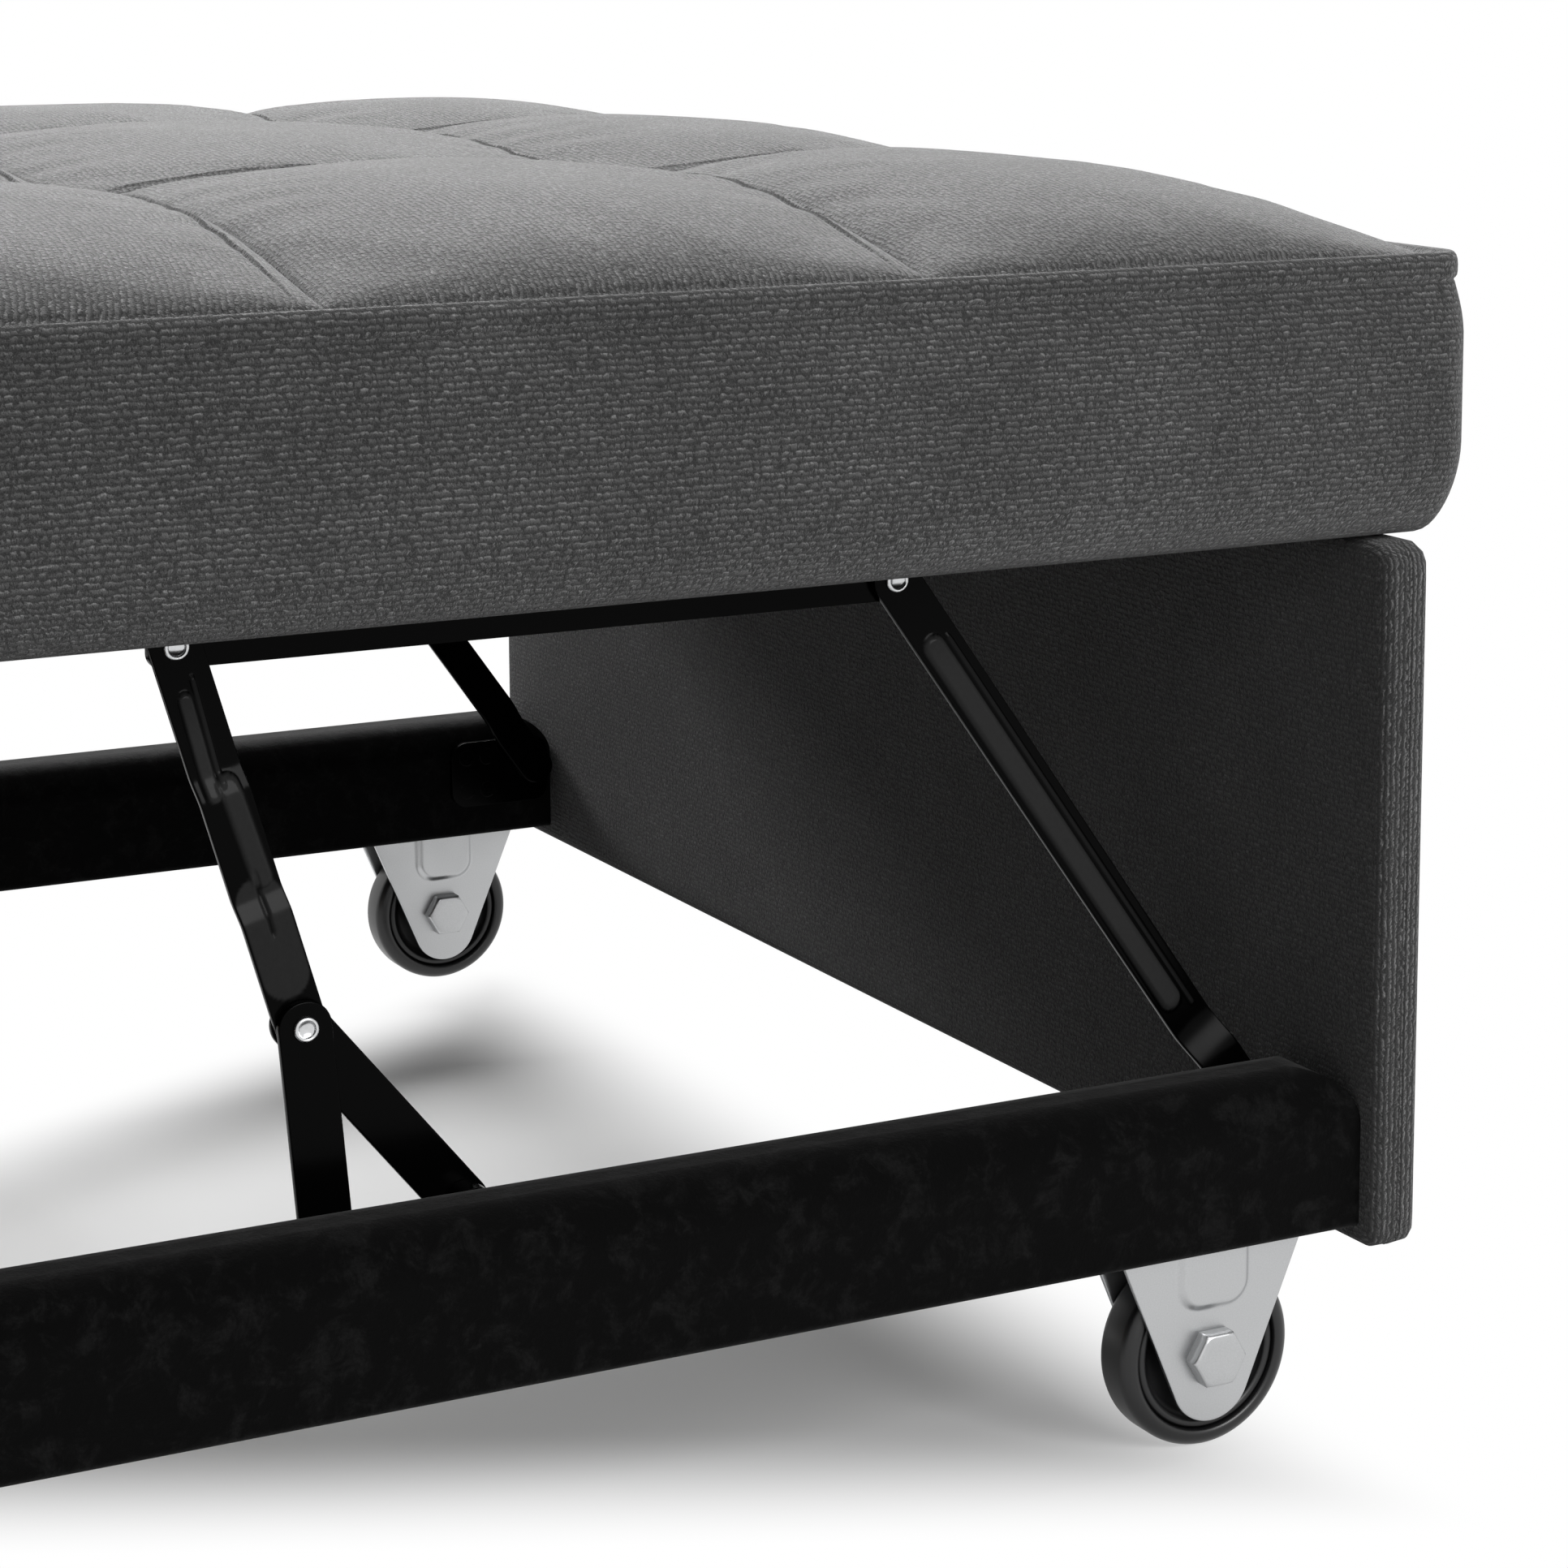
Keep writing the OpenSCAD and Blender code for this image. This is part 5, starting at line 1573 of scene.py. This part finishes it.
@dataclass
class Studio:
    """White floor, even soft lamps and the camera of the photograph."""

    focal_px: float = 4877.32
    frame_px: float = 1932.0
    centre_px: Pair = (1111.26, 680.92)
    camera_at: Triple = (-1.4887, 0.04225, 0.5428)
    yaw: float = 28.814
    pitch: float = 9.305
    ambient: float = 0.15
    bed_shadow: tuple[float, float, float, float, float] = (-0.055, -0.635, 0.3, 0.25, 0.5)
    chair_shadow: tuple[float, float, float, float, float] = (0.0, -0.02, 0.76, 0.5, 0.0)
    fade: float = 0.12
    lift: float = 0.06
    lamps: tuple[tuple[str, Triple, Triple, Pair, float], ...] = (
        ("top_softbox", (0.4, -0.4, 3.0), (0.0, -0.4, 0.0), (2.0, 2.0), 74.0),
        ("side_softbox", (-2.4, -0.95, 1.3), (0.0, -0.4, 0.3), (1.4, 1.0), 44.0),
        ("rim_softbox", (2.8, -1.0, 1.8), (0.0, -0.4, 0.4), (2.0, 0.8), 185.0))

    def camera(self) -> None:
        """Places the camera and turns its principal point into lens shift."""
        data = bpy.data.cameras.new("camera")
        data.sensor_width = 36.0
        data.lens = self.focal_px / self.frame_px * data.sensor_width
        data.shift_x = (self.frame_px / 2 - self.centre_px[0]) / self.frame_px
        data.shift_y = (self.centre_px[1] - self.frame_px / 2) / self.frame_px
        data.clip_start, data.clip_end = 0.01, 200.0
        eye = bpy.data.objects.new("camera", data)
        yaw, pitch = math.radians(self.yaw), math.radians(self.pitch)
        gaze = Vector((math.cos(yaw) * math.cos(pitch), -math.sin(yaw) * math.cos(pitch), -math.sin(pitch)))
        eye.location = self.camera_at
        eye.rotation_euler = gaze.to_track_quat("-Z", "Y").to_euler()
        bpy.context.scene.collection.objects.link(eye)
        bpy.context.scene.camera = eye

    def lamp(self, name: str, at: Triple, aim: Triple, size: Pair, watts: float) -> None:
        """Adds a rectangular lamp turned to its aim.

        Args:
            name: the lamp's name.
            at: its place in metres.
            aim: the point that it faces.
            size: its width and height.
            watts: its power.
        """
        data = bpy.data.lights.new(name, "AREA")
        data.shape, data.size, data.size_y, data.energy = "RECTANGLE", size[0], size[1], watts
        lamp = bpy.data.objects.new(name, data)
        lamp.location = at
        lamp.rotation_euler = (Vector(aim) - Vector(at)).to_track_quat("-Z", "Y").to_euler()
        bpy.context.scene.collection.objects.link(lamp)

    def outside(self, tree: Tree, where: Any, shape: tuple[float, float, float, float, float]) -> Any:
        """Adds nodes for the distance outside a tapering strip of floor.

        The strip runs from y = low to y = high about x = centre. Its half-width is wide at the low end and
        shrinks by taper for each metre. The distance is the largest of the three sides' distances.

        Args:
            tree: the node tree.
            where: socket with the position on the floor.
            shape: centre, low, high, wide and taper.

        Returns:
            Socket with the distance, negative inside.
        """
        centre, low, high, wide, taper = shape
        axes = put(tree, "SeparateXYZ", {0: where})
        across = put(tree, "Math", {0: axes, 1: -centre})
        off = put(tree, "Math", {0: across}, operation="ABSOLUTE")
        slope = {0: axes.outputs[1], 1: taper, 2: -wide - taper * low}
        half = put(tree, "Math", slope, operation="MULTIPLY_ADD")
        side = put(tree, "Math", {0: off, 1: half})
        front = put(tree, "Math", {0: low, 1: axes.outputs[1]}, operation="SUBTRACT")
        rear = put(tree, "Math", {0: axes.outputs[1], 1: -high})
        ends = put(tree, "Math", {0: front, 1: rear}, operation="MAXIMUM")
        return put(tree, "Math", {0: side, 1: ends, 2: 0.05}, operation="SMOOTH_MAX").outputs[0]

    def floor(self) -> None:
        """Lays a matt floor that the camera sees fade to white around the shadow, as in a cut-out: the white
        is painted light that shapes the shadow's outline, and the lift paints a little light inside it.
        """
        matt = bpy.data.materials.new("matt_white_floor")
        matt.use_nodes = True
        tree = matt.node_tree
        tree.nodes.clear()
        path = put(tree, "LightPath")
        rays = {0: path.outputs["Is Camera Ray"], 1: path.outputs["Is Glossy Ray"]}
        seen = put(tree, "Math", rays, operation="MAXIMUM")
        where = put(tree, "TexCoord")
        bed = self.outside(tree, where.outputs["Object"], self.bed_shadow)
        chair = self.outside(tree, where.outputs["Object"], self.chair_shadow)
        reach = put(tree, "Math", {0: bed, 1: chair}, operation="MINIMUM")
        # Painted light: white outside the two strips, and the lift's share of white inside them.
        far = put(tree, "MapRange", {"Value": reach, "From Max": self.fade, "To Min": self.lift}, **SMOOTH)
        lit = put(tree, "BsdfDiffuse", {"Color": (0.66, 0.66, 0.66, 1)})
        white = put(tree, "Emission", {"Color": (1, 1, 1, 1), "Strength": 1.0})
        near = put(tree, "MixShader", {0: far, 1: lit, 2: white})
        dim = put(tree, "BsdfDiffuse", {"Color": (0.3, 0.3, 0.3, 1)})
        mix = put(tree, "MixShader", {0: seen, 1: dim, 2: near})
        put(tree, "OutputMaterial", {"Surface": mix})
        mesh = bpy.data.meshes.new("floor")
        mesh.from_pydata([(-60, -60, 0), (60, -60, 0), (60, 60, 0), (-60, 60, 0)], [], [(0, 1, 2, 3)])
        mesh.materials.append(matt)
        floor = bpy.data.objects.new("floor", mesh)
        bpy.context.scene.collection.objects.link(floor)

    def world(self) -> None:
        """White behind everything that the camera, glass and metal see, dimmer as a lamp."""
        world = bpy.data.worlds.new("studio")
        world.use_nodes = True
        tree = world.node_tree
        tree.nodes.clear()
        path = put(tree, "LightPath")
        rays = {0: path.outputs["Is Camera Ray"], 1: path.outputs["Is Transmission Ray"]}
        clear = put(tree, "Math", rays, operation="MAXIMUM")
        seen = put(tree, "Math", {0: clear, 1: path.outputs["Is Glossy Ray"]}, operation="MAXIMUM")
        strength = put(tree, "MapRange", {"Value": seen, "To Min": self.ambient, "To Max": 1.0})
        back = put(tree, "Background", {"Color": (1, 1, 1, 1), "Strength": strength})
        put(tree, "OutputWorld", {"Surface": back})
        bpy.context.scene.world = world

    def build(self) -> None:
        """Sets up camera, floor, world and lamps."""
        self.camera()
        self.floor()
        self.world()
        for lamp in self.lamps:
            self.lamp(*lamp)
        bpy.context.scene.view_settings.view_transform = "Standard"


def dress_nodes() -> None:
    """Gives each carried-over node the finish of its slot, and two of them their dust cover."""
    finishes = {
        "black_velvet": RAIL_VELVET, "plywood": PLYWOOD, "timber": PINE, "satin_zinc": SATIN_ZINC,
        "bright_zinc": BRIGHT_ZINC, "wheel_tread": TREAD_PLASTIC, "wheel_hub": HUB_PLASTIC,
        "roller_nylon": ROLLER_NYLON, "foot_plastic": FOOT_PLASTIC, "black_steel": BLACK_PAINT,
        "woven_cover": PANEL_CLOTH, "woven_upholstery": CUSHION_CLOTH}
    for part in frame["record"]["subparts"]:
        finishes[part["material_slot"]].dress(frame["nodes"][part["node"]])
        log.info("%s: %s", part["node"], part["material_slot"])
    for node in ("extension_board", "seat_front_timber"):
        DUST_COVER.dress(frame["nodes"][node])


def main() -> None:
    """Builds the studio and every piece."""
    logging.basicConfig(level=logging.INFO, format="%(name)s: %(message)s")
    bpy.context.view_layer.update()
    Studio().build()
    dress_nodes()
    TuftedCushion("extension_cushion", "lift_frame", half_width=388.0, front_y=-32.0, length=626.5,
                  seed=7).build()
    low, high = 69.0, 324.0
    front = Place((0.0, 0.0, (low + high) / 2), (-1, 0, 0), (0, 0, 1), (0, -1, 0))
    CoveredBoard("front_panel_covered", "front_panel", "carriage", front, 388.3, (high - low) / 2, 18.5,
                 4.5, 9.0, swell=0.6, seed=2).build()
    LiftLinkage().build()
    AxleBolts().build()
    for side in Side:
        Castor(side).build()
    ChairBody().build()


if __name__ == "__main__":
    main()
